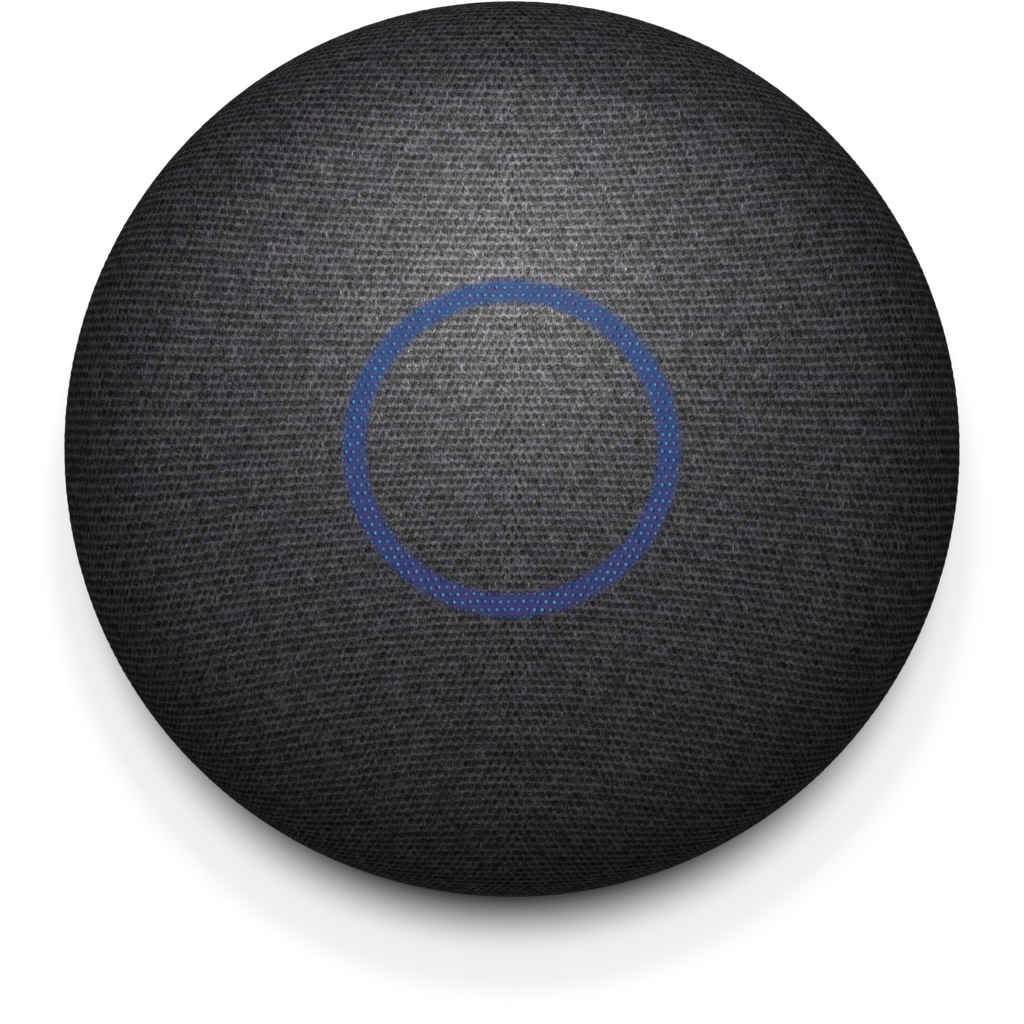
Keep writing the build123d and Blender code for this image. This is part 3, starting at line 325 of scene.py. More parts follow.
# %% Knit the skin
HALF_STITCHES, HALF_ROWS = 77, 71  # enough to reach past the hem everywhere
HOLE_DEPTH = 0.08 * MM
YARN_LIFT = 0.03 * MM
UNEVEN = 0.02 * MM
EDGE_CATCH = MM / 4  # a point this near to the hem is moved onto it
WELD = MM / 20

skin = bmesh.new()
bmesh.ops.create_grid(skin, x_segments=4 * HALF_STITCHES, y_segments=4 * HALF_ROWS, size=1)
weave = skin.verts.layers.float_vector.new("weave")
chance = random.Random(7)
edge_verts = set()
for vert in skin.verts:
    stitch = round(vert.co.x * HALF_STITCHES * 2) / 2
    row = round(vert.co.y * HALF_ROWS * 2) / 2
    arc, direction = on_cloth(stitch, row)
    on_row = row == int(row)
    in_hole = on_row and (stitch - 0.5 * (row % 2)) % 1 == 0
    lift = chance.uniform(-UNEVEN, UNEVEN)
    if in_hole:
        lift -= HOLE_DEPTH
    elif not on_row:
        lift += YARN_LIFT
    vert[weave] = (stitch, row, 0)
    if arc > WHOLE_ARC - EDGE_CATCH:
        edge_verts.add(vert)
        arc, lift = WHOLE_ARC, 0.0
    vert.co = on_dome(arc, direction, lift)
outside = [face for face in skin.faces if edge_verts.issuperset(face.verts)]
bmesh.ops.delete(skin, geom=outside, context="FACES")
rim = [vert for vert in skin.verts if vert in edge_verts]
bmesh.ops.remove_doubles(skin, verts=rim, dist=WELD)
print("stitched skin:", len(skin.verts), "vertices,", len(skin.faces), "faces")

# %% [markdown]
# At the dome's edge the cloth folds in and is glued up inside. The open border is extruded ring by ring:
# round the fold, in along the hem, up behind it, and back along the inner face to the top, where it
# closes.

# %% Fold the hem and line the inside
FOLD = 0.4 * MM
HEM_WIDTH = 2.4 * MM
HEM_THICK = 0.85 * MM
rings = []
for turn in (30, 60, 90):
    bend = math.radians(turn)
    rings.append((RADIUS - FOLD + FOLD * math.cos(bend), HEM - FOLD * math.sin(bend) + FOLD))
hem_inner = RADIUS - HEM_WIDTH
rings += [(hem_inner + FOLD / 2, HEM), (hem_inner, HEM + FOLD / 2)]
rings += [(hem_inner, HEM + HEM_THICK - FOLD / 4), (hem_inner + FOLD / 4, HEM + HEM_THICK)]
rings += [(RADIUS - CLOTH, HEM + HEM_THICK), (RADIUS - CLOTH, WIDEST)]
INNER_STEPS = 10
for step in range(1, INNER_STEPS):
    point = on_dome((WHOLE_ARC - SKIRT) * (1 - step / INNER_STEPS), 0.0, -CLOTH)
    rings.append((point.x, point.z))

border = [edge for edge in skin.edges if edge.is_boundary]
for vert in {v for edge in border for v in edge.verts}:
    vert.co.z = HEM + FOLD
last = border
for out, up in rings:
    made = bmesh.ops.extrude_edge_only(skin, edges=last)["geom"]
    last = [item for item in made if isinstance(item, bmesh.types.BMEdge)]
    for vert in {item for item in made if isinstance(item, bmesh.types.BMVert)}:
        direction = math.atan2(vert.co.y, vert.co.x)
        vert.co = (out * math.cos(direction), out * math.sin(direction), up)
    last = [edge for edge in last if edge.is_boundary]
pole = {vert for edge in last for vert in edge.verts}
bmesh.ops.pointmerge(skin, verts=list(pole), merge_co=(0, 0, TOP - CLOTH))
bmesh.ops.recalc_face_normals(skin, faces=skin.faces)
print("open edges left:", sum(edge.is_boundary for edge in skin.edges))

# %% [markdown]
# The knit's pattern is drawn on the cloth and not in space, so each vertex carries its stitch and row as
# a UV map. One unit is one stitch, which makes the material's sums short.

# %% Give the cloth its stitch numbers
numbers = skin.loops.layers.uv.new("weave")
for face in skin.faces:
    face.smooth = True
    for loop in face.loops:
        loop[numbers].uv = loop.vert[weave].xy
mesh = bpy.data.meshes.new("fabric")
skin.to_mesh(mesh)
skin.free()
fabric = bpy.data.objects.new("fabric", mesh)
bpy.context.scene.collection.objects.link(fabric)
CUT = WHOLE_ARC + HEM_WIDTH + HEM_THICK
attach(fabric, "housing")
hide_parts("fabric_cover")
2 * CUT
2 * CUT
math.pi * CUT**2
print("fabric:", len(mesh.polygons), "faces, cut from a disc", round(2 * CUT / MM), "mm across")

# %% [markdown]
# ## The cloth's finish
# The yarn is a dark grey melange. Every stitch holds a hole with ragged edges and a lighter core, a dark
# crescent beside it, and a light leg of yarn with a dark link, and a light band runs between two rows.
# The right half of the cloth mirrors the left half. Such a cloth's brightness varies by factors, so these
# parts are soft patches and waves that are added up as powers of two, and the sum has a ceiling. The same
# tone drives the colour and the yarn's gloss, because a hole neither looks light nor shines. Coat Weight
# carries the gloss, with one roughness for all, and it fades where the cloth turns over the edge.

# %% Where each point lies in its stitch
WANDER = (0.3, 0.25, 0.0)  # how unevenly the rows and the columns run, in stitches and rows
JITTER = 0.1  # how much each stitch sits off its place
MIRROR_WIDTH = 3.0  # half the strip of stitches in which the pattern turns round
cloth = Paint("knit_cloth")
weave_map = cloth.node("ShaderNodeUVMap", {"uv_map": "weave"})
wander = cloth.noise(weave_map, scale=0.45, detail=1.0).output("Color")
wander = cloth.scaled(cloth.vector("SUBTRACT", wander, (0.5, 0.5, 0.5)), WANDER)
spot = cloth.vector("ADD", weave_map, wander)
stitch, row_place, _ = cloth.parts(spot)
row = round(row_place)
across = row_place - row
stagger = (row * 0.5).fraction()
column = round(stitch - stagger)
along = stitch - stagger - column
side = 1 - 2 * stitch.rises(-MIRROR_WIDTH, MIRROR_WIDTH)
luck, luck_y, luck_z = cloth.parts(cloth.chance(cloth.joined(column, row)).output("Color"))
along = along + (luck - 0.5) * JITTER
across_hole = across + (luck_y - 0.5) * JITTER


def patch(x, y, width, height):
    """1 at a place in the stitch, in stitches and rows from its middle, fading to 0 at its outline."""
    out = (along - side * x).from_whole() / width
    up = (across_hole - y) / height
    return ((out**2 + up**2) ** 0.5).rises(1.0, 0.0)


# %% The parts of a stitch
HOLE_WIDTH, HOLE_HEIGHT, HOLE_EDGE = 0.196, 0.402, 0.15
HOLE_LIGHT, BAND_LIGHT = -0.59, 1.08
BAND_WAVE, BAND_LEAN, BAND_LATE = 0.116, 0.474, 0.162
# The middle, width and height of each patch, and the light it adds.
LIGHT_CORE = (0.034, 0.0, 0.164, 0.254), 0.93
LIGHT_LEG = (0.426, -0.02, 0.286, 0.21), 1.33
DARK_CRESCENT = (-0.239, -0.10, 0.105, 0.425), -1.09
DARK_LINK = (0.42, 0.07, 0.342, 0.399), -1.1

fibre = cloth.noise(spot, scale=4.8, detail=2.0, roughness=0.85)
ragged = (fibre - 0.5) * 1.2
reach = ((along / HOLE_WIDTH) ** 2 + (across_hole / HOLE_HEIGHT) ** 2) ** 0.5
hole = (reach + ragged).rises(1 + HOLE_EDGE, 1 - HOLE_EDGE)
turns = (along * math.tau).maths("COSINE")
late_turns = ((along - side * BAND_LATE) * math.tau).maths("COSINE")
band = (abs(across) - BAND_WAVE * turns).rises(-0.10, 0.64) * (1 - BAND_LEAN * across * late_turns)
motif = BAND_LIGHT * band + HOLE_LIGHT * hole
for place, added in (LIGHT_CORE, LIGHT_LEG, DARK_CRESCENT, DARK_LINK):
    motif = motif + added * patch(*place)


# %% Threads, streaks and tone
def strokes(along_scale, across_scale, detail=2.0):
    """Noise in strokes, from how many of them lie in one stitch and in one row."""
    return cloth.noise(cloth.scaled(spot, (along_scale, across_scale, 1.0)), detail=detail, roughness=0.7)


FIBRE_LIGHT, TICK_LIGHT, STREAK_LIGHT, STRAND_LIGHT = 6.5, 4.0, 1.45, 2.1
CONTRAST = 1.85
SHEEN_LIMIT = 0.35  # the lightest yarn is 1 / SHEEN_LIMIT times the middle tone
LIGHT_MIDDLE = 0.85  # the sum of light that gives the middle tone
HAIR = (0.3, 0.15, 0.12, 0.34)  # a few stitches have a pale hair here
HAIR_LIGHT = 4.5
streak = strokes(0.45, 0.95, detail=3.0)
tick = strokes(4.6, 1.6)
strand = strokes(1.3, 0.6)
light = motif * (0.75 + 0.35 * luck_z) + 0.5 * (luck_y - 0.5) + 0.4 * band * streak.rises(0.35, 0.75)
light = light + FIBRE_LIGHT * (fibre - 0.5) + TICK_LIGHT * (tick - 0.5)
light = light + STREAK_LIGHT * (streak - 0.5) + STRAND_LIGHT * (strand - 0.5)
tone = 1 / (SHEEN_LIMIT + (1 - SHEEN_LIMIT) * 2.0 ** (CONTRAST * (LIGHT_MIDDLE - light)))
hair = patch(*HAIR) * luck_y.rises(0.88, 0.97) * tick.rises(0.35, 0.65)
tone = tone + HAIR_LIGHT * hair

# %% Colour of the yarn
YARN_REDDISH = (0.0396, 0.0356, 0.0418, 1.0)
YARN_BLUISH = (0.0364, 0.0363, 0.0390, 1.0)
cloud = cloth.noise(cloth.scaled(spot, (0.15, 0.4, 1.0)))
yarn = cloth.mix(cloud.rises(0.35, 0.65), YARN_REDDISH, YARN_BLUISH)

# %% [markdown]
# The ring's light comes through the cloth, so the cloth itself glows over it. It glows most at the holes,
# where points of light show. Between them the light is deep blue, and darker towards the front.

# %% Light that comes through the cloth
GLOW_START, GLOW_FULL = (15.67, 19.27), (16.82, 18.02)  # inner and outer edge of the glow, in mm
GLOW_FRONT = (0.026, 0.035, 0.142, 1.0)
GLOW_REAR = (0.018, 0.070, 0.232, 1.0)
GLOW_STREAK = (0.045, 0.035, 0.150, 1.0)
GLOW_POINT = (0.10, 0.36, 0.50, 1.0)
POINT = (0.03, 0.0, 0.29, 0.29)  # the place and size of a light point in its stitch
SPECK = (-0.239, -0.10, 0.2, 0.4)  # and of the dark crescent beside it
radius, _, _ = cloth.polar()
radius = radius + (fibre - 0.5) * 0.3
glow = radius.rises(GLOW_START[0], GLOW_FULL[0]) * radius.rises(GLOW_START[1], GLOW_FULL[1])
point = patch(*POINT) * (0.35 + 0.8 * luck_z)
_, from_front, _ = cloth.parts(cloth.place())
haze = cloth.mix(from_front.rises(-18.0, 22.0), GLOW_FRONT, GLOW_REAR)
haze = cloth.mix(0.5 * streak.rises(0.35, 0.65), haze, GLOW_STREAK)
shine = cloth.mix(point, haze, GLOW_POINT)
speck = patch(*SPECK) * luck.rises(0.2, 0.6) * (1 - point)
glow_share = glow * (1 - 0.85 * speck)

# %% Close the cloth's material
GLOSS = 0.04
# Painted shade: the yarn's tone is darkened towards the cover's edge, where the cloth turns away from the
# lamp, and it is also lowered where the ring's glow is painted.
painted_edge_shade = radius.rises(38.0, 50.0)
turned_edge = radius.rises(38.0, 49.5)
lit_tone = tone * (1 - 0.8 * glow) * (1 - 0.3 * painted_edge_shade)
gloss = GLOSS * (0.2 + 0.8 * lit_tone) * (1 - 0.85 * turned_edge) * (1 - 0.5 * glow)
height = 0.45 + 0.16 * light - 0.35 * hole
fabric.data.materials.append(
    cloth.finish(
        Base_Color=cloth.shaded(yarn, lit_tone),
        Roughness=0.75,
        Specular_IOR_Level=0.0,
        Coat_Weight=gloss,
        Coat_Roughness=0.49,
        Coat_IOR=3.5,
        Normal=cloth.bump(height, 0.12 * MM, 0.6),
        Emission_Color=cloth.shaded(shine, glow_share),
        Emission_Strength=1.0,
    )
)
print("cloth nodes:", len(cloth.material.node_tree.nodes))

# %% [markdown]
# ## Moulded plastics
# The dome, the base, the box and the small knobs are injection moulded. Their moulds are spark eroded,
# which leaves a fine even grain, and a large wall cools unevenly, so its gloss drifts a little. One
# function makes them all, and the parts differ in shade, grain and gloss. Everything is in millimetres on
# Object coordinates.


# %% Moulded plastic
dressed = {}


def dress(material, *names):
    """Gives CAD nodes their finish. Their shapes stay as they are."""
    for name in names:
        frame["nodes"][name].material_slots[0].material = material
        dressed[name] = material.name


def moulded(name, shade, gloss, grain=5.0, depth=0.012, blue=0.08):
    plastic = Paint(name)
    spot = plastic.place()
    pits = plastic.noise(spot, scale=grain, detail=3.0, roughness=0.6)
    drift = plastic.noise(spot, scale=0.05, detail=2.0)
    scuff = plastic.noise(plastic.scaled(spot, (0.9, 0.9, 3.0)), scale=1.0, detail=4.0, roughness=0.7)
    rubbed = scuff.rises(0.6, 0.75)
    level = 0.86 + 0.22 * pits + 0.12 * (drift - 0.5) + 0.1 * rubbed
    return plastic.finish(
        Base_Color=plastic.shaded(grey(shade, blue), level),
        Roughness=gloss + 0.14 * (pits - 0.5) + 0.12 * (drift - 0.5) - 0.05 * rubbed,
        Normal=plastic.bump(pits, depth * MM),
    )


dress(moulded("base_plastic_spark_grain", 0.045, 0.5), "base_shell")
dress(moulded("dome_plastic_fine_grain", 0.03, 0.6, grain=7.0, depth=0.008), "grille_dome")
dress(moulded("box_plastic_glass_filled", 0.05, 0.55, grain=3.0, depth=0.015), "speaker_box", "box_lid")
dress(moulded("knob_plastic_satin", 0.085, 0.38, grain=9.0, depth=0.005), "mute_knob", "reset_button")
dress(moulded("lever_plastic", 0.12, 0.42, grain=8.0, depth=0.005, blue=0.0), "mute_lever")
print("moulded plastics done")

# %% [markdown]
# ## Rubber and foam
# Silicone rubber is matt, with a grey bloom of fine dust that gathers in patches. The foot also has
# shallow grip rings, which are a wave of the distance from the axis. Foam is a pack of cells, so a
# Voronoi pattern gives its walls and its hollows.


# %% Rubber
def rubber(name, shade, gloss, ring_depth=0.0):
    soft = Paint(name)
    spot = soft.place()
    reach, _, _ = soft.polar()
    skin = soft.noise(spot, scale=6.0, detail=2.0)
    bloom = soft.noise(spot, scale=0.35, detail=4.0, roughness=0.7).rises(0.5, 0.75)
    rings = (reach / 0.9).from_whole() * 2 * ring_depth if ring_depth else 0.0
    level = 0.8 + 0.3 * skin + 0.7 * bloom
    return soft.finish(
        Base_Color=soft.shaded(grey(shade, 0.03), level),
        Roughness=gloss + 0.08 * bloom + 0.06 * (skin - 0.5),
        Normal=soft.bump(0.3 * skin + rings, 0.05 * MM, 0.7),
    )


dress(rubber("foot_silicone", 0.028, 0.78, ring_depth=1.0), "rubber_foot")
dress(rubber("boot_silicone", 0.024, 0.7), "mic_boots", "wire_grommet")
dress(rubber("surround_rubber", 0.02, 0.55), "surround")


# %% Foam
def foam(name, shade):
    cells = Paint(name)
    spot = cells.place()
    settings = {"feature": "DISTANCE_TO_EDGE"}
    # The cell walls are painted lighter and the hollows darker, which is painted shade in the hollows; the
    # same mask drives the bump.
    cell_walls_and_hollow_shade = cells.node("ShaderNodeTexVoronoi", settings, {"Vector": spot, "Scale": 2.8}).rises(0.14, 0.02)
    dust = cells.noise(spot, scale=1.3, detail=3.0)
    return cells.finish(
        Base_Color=cells.shaded(grey(shade), 0.55 + 0.7 * cell_walls_and_hollow_shade + 0.3 * dust),
        Roughness=0.86 + 0.1 * dust,
        Normal=cells.bump(cell_walls_and_hollow_shade, 0.1 * MM),
    )


dress(foam("closed_cell_foam", 0.035), "foam_ring", "driver_gasket")
print("rubber and foam done")

# %% [markdown]
# ## Metals
# Sheet metal shows the lines of its rolling, and turned parts show rings round their axis. Both are noise
# that is stretched along the lines: on the turned parts it is read from the distance to the axis.


# %% Sheet metal
def sheet_metal(name, colour, gloss, run=(0.08, 5.0, 5.0), vent_pitch=0.0):
    sheet = Paint(name)
    spot = sheet.place()
    lines = sheet.noise(sheet.scaled(spot, run), scale=1.0, detail=3.0, roughness=0.6)
    stain = sheet.noise(spot, scale=0.3, detail=3.0)
    vent = 0.0
    if vent_pitch:
        x, y, _ = sheet.parts(spot)
        from_vent = ((x / vent_pitch).from_whole() ** 2 + (y / vent_pitch).from_whole() ** 2) ** 0.5
        vent = from_vent.rises(0.25, 0.2)
    level = (0.85 + 0.2 * lines + 0.12 * (stain - 0.5)) * (1 - 0.93 * vent)
    return sheet.finish(
        Base_Color=sheet.shaded(colour, level),
        Metallic=1 - vent,
        Roughness=gloss + 0.16 * (lines - 0.5) + 0.1 * (stain - 0.5) + 0.4 * vent,
        Normal=sheet.bump(0.25 * lines - vent, 0.02 * MM, 0.8),
    )


dress(sheet_metal("tinned_shield", (0.60, 0.60, 0.59), 0.3, vent_pitch=2.4), "shield_can")
dress(sheet_metal("drawn_can", (0.62, 0.60, 0.56), 0.32), "microphones")
dress(sheet_metal("rolled_aluminium", (0.70, 0.71, 0.72), 0.36), "heat_spreader")
dress(sheet_metal("socket_stainless", (0.52, 0.52, 0.53), 0.26, run=(5.0, 0.1, 5.0)), "power_socket")

# %% Coated steel
coat = Paint("black_steel_coat")
spot = coat.place()
peel = coat.noise(spot, scale=2.2, detail=1.0)
nick = coat.noise(spot, scale=1.1, detail=4.0, roughness=0.7).rises(0.7, 0.72)
coat_colour = coat.mix(nick, coat.shaded(grey(0.03), 0.8 + 0.4 * peel), grey(0.35))
dress(
    coat.finish(
        Base_Color=coat_colour,
        Metallic=nick,
        Roughness=0.4 + 0.15 * (peel - 0.5),
        Normal=coat.bump(peel - 0.5 * nick, 0.03 * MM),
    ),
    "driver_basket",
)


# %% Turned metal
def turned_metal(name, colour, gloss, marks=5.0, sparkle=0.0):
    turned = Paint(name)
    reach, _, height = turned.polar()
    rings = turned.noise(turned.joined(reach * marks, height * marks), scale=1.0, detail=3.0, roughness=0.7)
    grain = turned.noise(turned.place(), scale=4.0, detail=3.0, roughness=0.7)
    glint = sparkle * grain.rises(0.6, 0.72) if sparkle else 0.0
    return turned.finish(
        Base_Color=turned.shaded(colour, 0.8 + 0.25 * rings + 0.15 * grain + 0.6 * glint),
        Metallic=1 - 0.6 * sparkle * (1 - glint),
        Roughness=gloss + 0.2 * (rings - 0.5) + 0.15 * (grain - 0.5) - 0.1 * glint,
        Normal=turned.bump(0.5 * rings + 0.3 * grain, 0.01 * MM),
    )


dress(turned_metal("zinc_plated_iron", (0.47, 0.45, 0.40), 0.34), "yoke", "motor_top_plate")
dress(turned_metal("black_zinc_screws", (0.17, 0.17, 0.18), 0.36, 2.0), "base_screws", "driver_screws")
dress(turned_metal("bright_zinc_screws", (0.50, 0.50, 0.50), 0.3, 2.0), "board_screws")
dress(turned_metal("sintered_ferrite", (0.075, 0.075, 0.08), 0.62, marks=1.0, sparkle=1.0), "magnet")
print("metals done")

# %% [markdown]
# ## Boards and chips
# A circuit board is laminate under green lacquer. Copper tracks lie under the lacquer and lift it a
# little, in lanes that run one way in one area and the other way in the next. Bare vias stand on a coarse
# grid. The lanes come from rounding a coordinate, and a random value for each lane decides whether it
# holds a track.


# %% Circuit board
def circuit(name, lane_width=0.8):
    board = Paint(name)
    spot = board.place()
    x, y, _ = board.parts(spot)
    turn = board.noise(spot, scale=0.11, detail=0.0).rises(0.495, 0.505)
    lane = (y + turn * (x - y)) / lane_width
    run = (x + turn * (y - x)) / 7
    used = board.chance(board.joined(round(lane), round(run), turn)).rises(0.45, 0.5)
    track = lane.from_whole().rises(0.26, 0.2) * used
    grid_x, grid_y = x / 2.1, y / 2.1
    ring = (grid_x.from_whole() ** 2 + grid_y.from_whole() ** 2) ** 0.5
    bare = board.chance(board.joined(round(grid_x), round(grid_y), 3.0)).rises(0.68, 0.7)
    via = ring.rises(0.2, 0.15) * bare
    weave = board.noise(spot, scale=1.2, detail=2.0)
    lacquer = board.mix(track, (0.006, 0.060, 0.030, 1.0), (0.012, 0.125, 0.052, 1.0))
    colour = board.mix(via, board.shaded(lacquer, 0.8 + 0.4 * weave), (0.80, 0.58, 0.26, 1.0))
    return board.finish(
        Base_Color=colour,
        Metallic=0.9 * via,
        Roughness=0.34 + 0.1 * (weave - 0.5) - 0.06 * via,
        Normal=board.bump(0.6 * track + 0.4 * via, 0.03 * MM),
    )


dress(circuit("main_board_lacquer"), "main_board")
dress(circuit("small_board_lacquer", lane_width=0.5), "led_board", "mic_boards", "driver_terminals")


# %% Chip packages and the power contacts
def package(name, shade, gloss):
    chip = Paint(name)
    spot = chip.place()
    filler = chip.noise(spot, scale=9.0, detail=2.0)
    flow = chip.noise(spot, scale=0.5, detail=2.0)
    return chip.finish(
        Base_Color=chip.shaded(grey(shade, 0.05), 0.75 + 0.35 * filler + 0.2 * flow),
        Roughness=gloss + 0.15 * (filler - 0.5) + 0.1 * (flow - 0.5),
        Normal=chip.bump(filler, 0.008 * MM),
    )


dress(package("chip_epoxy", 0.022, 0.52), "board_chips", "processor")
dress(package("switch_nylon", 0.03, 0.45), "mute_switch_body", "reset_switch", "reset_plunger")

contacts = Paint("gold_contacts")
spot = contacts.place()
x, _, _ = contacts.parts(spot)
strip = (x / 0.5).from_whole().rises(0.3, 0.24)
wear = contacts.noise(contacts.scaled(spot, (3.0, 0.6, 3.0)), scale=1.0, detail=2.0)
contact_colour = contacts.mix(strip, grey(0.018), (0.83, 0.60, 0.27, 1.0))
dress(
    contacts.finish(
        Base_Color=contacts.shaded(contact_colour, 0.8 + 0.3 * wear),
        Metallic=strip,
        Roughness=0.42 - 0.16 * strip + 0.14 * (wear - 0.5),
        Normal=contacts.bump(strip, 0.03 * MM),
    ),
    "power_tongue",
)
print("boards and chips done")

# %% [markdown]
# ## Films, pads and wires
# The touch films and antennas are copper on amber film. A touch film's copper is a hatch, which saves
# metal and keeps its corners soft. The flat cable shows its conductors as stripes that run along it, so
# they vary only across its width.


# %% Copper on film
def printed_film(name, turns_per_line, lines_per_mm, copper_width):
    film = Paint(name)
    _, turn, height = film.polar()
    slant = turn / turns_per_line + height * lines_per_mm
    other = turn / turns_per_line - height * lines_per_mm
    on_line = slant.from_whole().rises(copper_width, copper_width - 0.05)
    on_other = other.from_whole().rises(copper_width, copper_width - 0.05)
    copper = on_line.maths("MAXIMUM", on_other)
    haze = film.noise(film.place(), scale=0.8, detail=3.0)
    colour = film.mix(copper, (0.36, 0.15, 0.025, 1.0), (0.74, 0.36, 0.20, 1.0))
    return film.finish(
        Base_Color=film.shaded(colour, 0.8 + 0.4 * haze),
        Metallic=0.9 * copper,
        Roughness=0.3 + 0.2 * (haze - 0.5),
        Normal=film.bump(copper, 0.02 * MM),
    )


dress(printed_film("touch_film_hatch", 0.005, 0.65, 0.16), "touch_film_left", "touch_film_right")
dress(printed_film("antenna_copper", 0.02, 0.3, 0.3), "antennas")
dress(printed_film("former_film", 0.04, 0.2, 0.06), "coil_former")

# %% Flat cable
CABLE_DIRECTION = math.radians(250)
ribbon = Paint("ribbon_cable")
spot = ribbon.place()
x, y, _ = ribbon.parts(spot)
width_place = y * math.cos(CABLE_DIRECTION) - x * math.sin(CABLE_DIRECTION)
conductor = (width_place / 0.5).from_whole().rises(0.34, 0.26)
crease = ribbon.noise(spot, scale=1.5, detail=2.0)
ribbon_colour = ribbon.mix(conductor, (0.74, 0.74, 0.72, 1.0), (0.60, 0.52, 0.44, 1.0))
dress(
    ribbon.finish(
        Base_Color=ribbon.shaded(ribbon_colour, 0.9 + 0.2 * crease),
        Roughness=0.36 + 0.14 * (crease - 0.5),
        Normal=ribbon.bump(0.7 * conductor + 0.3 * crease, 0.03 * MM),
    ),
    "flat_cable",
)


# %% Pad, connectors and wire
def soft_plastic(name, colour, gloss, run=(1.0, 1.0, 1.0), depth=0.02):
    skin = Paint(name)
    spot = skin.place()
    fine = skin.noise(skin.scaled(spot, run), scale=5.0, detail=3.0, roughness=0.6)
    broad = skin.noise(spot, scale=0.4, detail=2.0)
    return skin.finish(
        Base_Color=skin.shaded(colour, 0.82 + 0.24 * fine + 0.12 * broad),
        Roughness=gloss + 0.15 * (fine - 0.5) + 0.12 * (broad - 0.5),
        Normal=skin.bump(fine, depth * MM),
    )


dress(soft_plastic("thermal_pad_blue", (0.30, 0.42, 0.60, 1.0), 0.7, depth=0.04), "thermal_pad")
dress(soft_plastic("connector_ivory", (0.72, 0.68, 0.56, 1.0), 0.45), "cable_connectors")
dress(soft_plastic("wire_red", (0.36, 0.028, 0.025, 1.0), 0.38, run=(1.0, 1.0, 0.2)), "speaker_wire")
print("films, pads and wires done")

# %% [markdown]
# ## Loudspeaker's moving parts
# The cone and dust cap are pressed pulp, whose fibres lie every way. The spider is a cotton weave set in
# amber resin, so its pattern is the product of two waves. The voice coil is wound wire, a wave of the
# height.

# %% Paper
paper = Paint("pressed_pulp")
spot = paper.place()
pulp = paper.noise(spot, scale=1.6, detail=4.0, roughness=0.7)
strands = paper.node("ShaderNodeTexVoronoi", {"feature": "SMOOTH_F1"}, {"Vector": spot, "Scale": 2.2})
reach, _, _ = paper.polar()
press_mark = (reach / 2.6).from_whole().rises(0.06, 0.0)
dress(
    paper.finish(
        Base_Color=paper.shaded(grey(0.05, -0.04), 0.6 + 0.5 * pulp + 0.4 * strands),
        Roughness=0.82 + 0.15 * (pulp - 0.5),
        Normal=paper.bump(0.5 * pulp + 0.3 * strands - 0.4 * press_mark, 0.06 * MM),
    ),
    "cone",
    "dust_cap",
)

# %% Spider cloth
spider_cloth = Paint("resin_cloth")
spot = spider_cloth.place()
x, y, _ = spider_cloth.parts(spot)
over = (x / 0.42).from_whole() * 2
under = (y / 0.42).from_whole() * 2
thread = over * (1 - under) + under * (1 - over)
resin = spider_cloth.noise(spot, scale=0.6, detail=3.0)
spider_colour = spider_cloth.mix(resin.rises(0.35, 0.65), (0.52, 0.36, 0.15, 1.0), (0.62, 0.47, 0.24, 1.0))
dress(
    spider_cloth.finish(
        Base_Color=spider_cloth.shaded(spider_colour, 0.6 + 0.5 * thread),
        Roughness=0.6 - 0.12 * resin + 0.1 * thread,
        Normal=spider_cloth.bump(thread, 0.08 * MM),
    ),
    "spider",
)

# %% [markdown]
# The surround and the spider join the still basket to the moving cone, so they have to bend. Each ring
# is cut into sectors, and the sectors take the ring's place.


# %% Rings cut into sectors
def sector_of(name, middle, half):
    """A closed mesh with the part of a CAD node that lies within `half` of the direction `middle`."""
    source = frame["nodes"][name]
    wedge = bmesh.new()
    wedge.from_mesh(source.data)
    bmesh.ops.remove_doubles(wedge, verts=wedge.verts, dist=MM / 1000)
    for turn, side in ((middle + half, 1), (middle - half, -1)):
        away = side * Vector((-math.sin(turn), math.cos(turn), 0))
        whole = wedge.verts[:] + wedge.edges[:] + wedge.faces[:]
        bmesh.ops.bisect_plane(wedge, geom=whole, dist=MM / 10000, plane_no=away, clear_outer=True)
        bmesh.ops.holes_fill(wedge, edges=[edge for edge in wedge.edges if edge.is_boundary])
    for edge in wedge.edges:
        edge.smooth = edge.calc_face_angle(math.pi) < SHARPEST_BEND
    sector_mesh = bpy.data.meshes.new(name)
    wedge.to_mesh(sector_mesh)
    wedge.free()
    sector_mesh.materials.append(source.material_slots[0].material)
    return sector_mesh


def bending_ring(name, still_radius, moving_radius, sectors):
    """Puts sectors in a ring's place."""
    half = math.pi / sectors
    faces = 0
    for number in range(sectors):
        middle = 2 * half * number
        sector = bpy.data.objects.new(f"{name}_sector_{number + 1}", sector_of(name, middle, half))
        bpy.context.scene.collection.objects.link(sector)
        faces += len(sector.data.polygons)
        outwards = Vector((math.cos(middle), math.sin(middle), 0))
        start, end = still_radius * outwards, moving_radius * outwards
        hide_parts(name)
        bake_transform(sector)
    print(name, "in", sectors, "sectors with", faces, "faces")


SHARPEST_BEND = math.radians(35)  # a sharper edge is shaded as an edge
SURROUND_LIP = 1.05 * MM  # how much of each ring is glued down
SPIDER_LIP = 2.15 * MM
SPIDER_GRIP = 0.75 * MM
basket_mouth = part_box("surround")[1].x - SURROUND_LIP
basket_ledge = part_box("spider")[1].x - SPIDER_LIP
coil_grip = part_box("coil_former")[1].x + SPIDER_GRIP
bending_ring("surround", basket_mouth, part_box("cone")[1].x, sectors=16)
bending_ring("spider", basket_ledge, coil_grip, sectors=12)

# %% Voice coil
WIRE_PITCH = 0.16
winding = Paint("copper_winding")
reach, _, height = winding.polar()
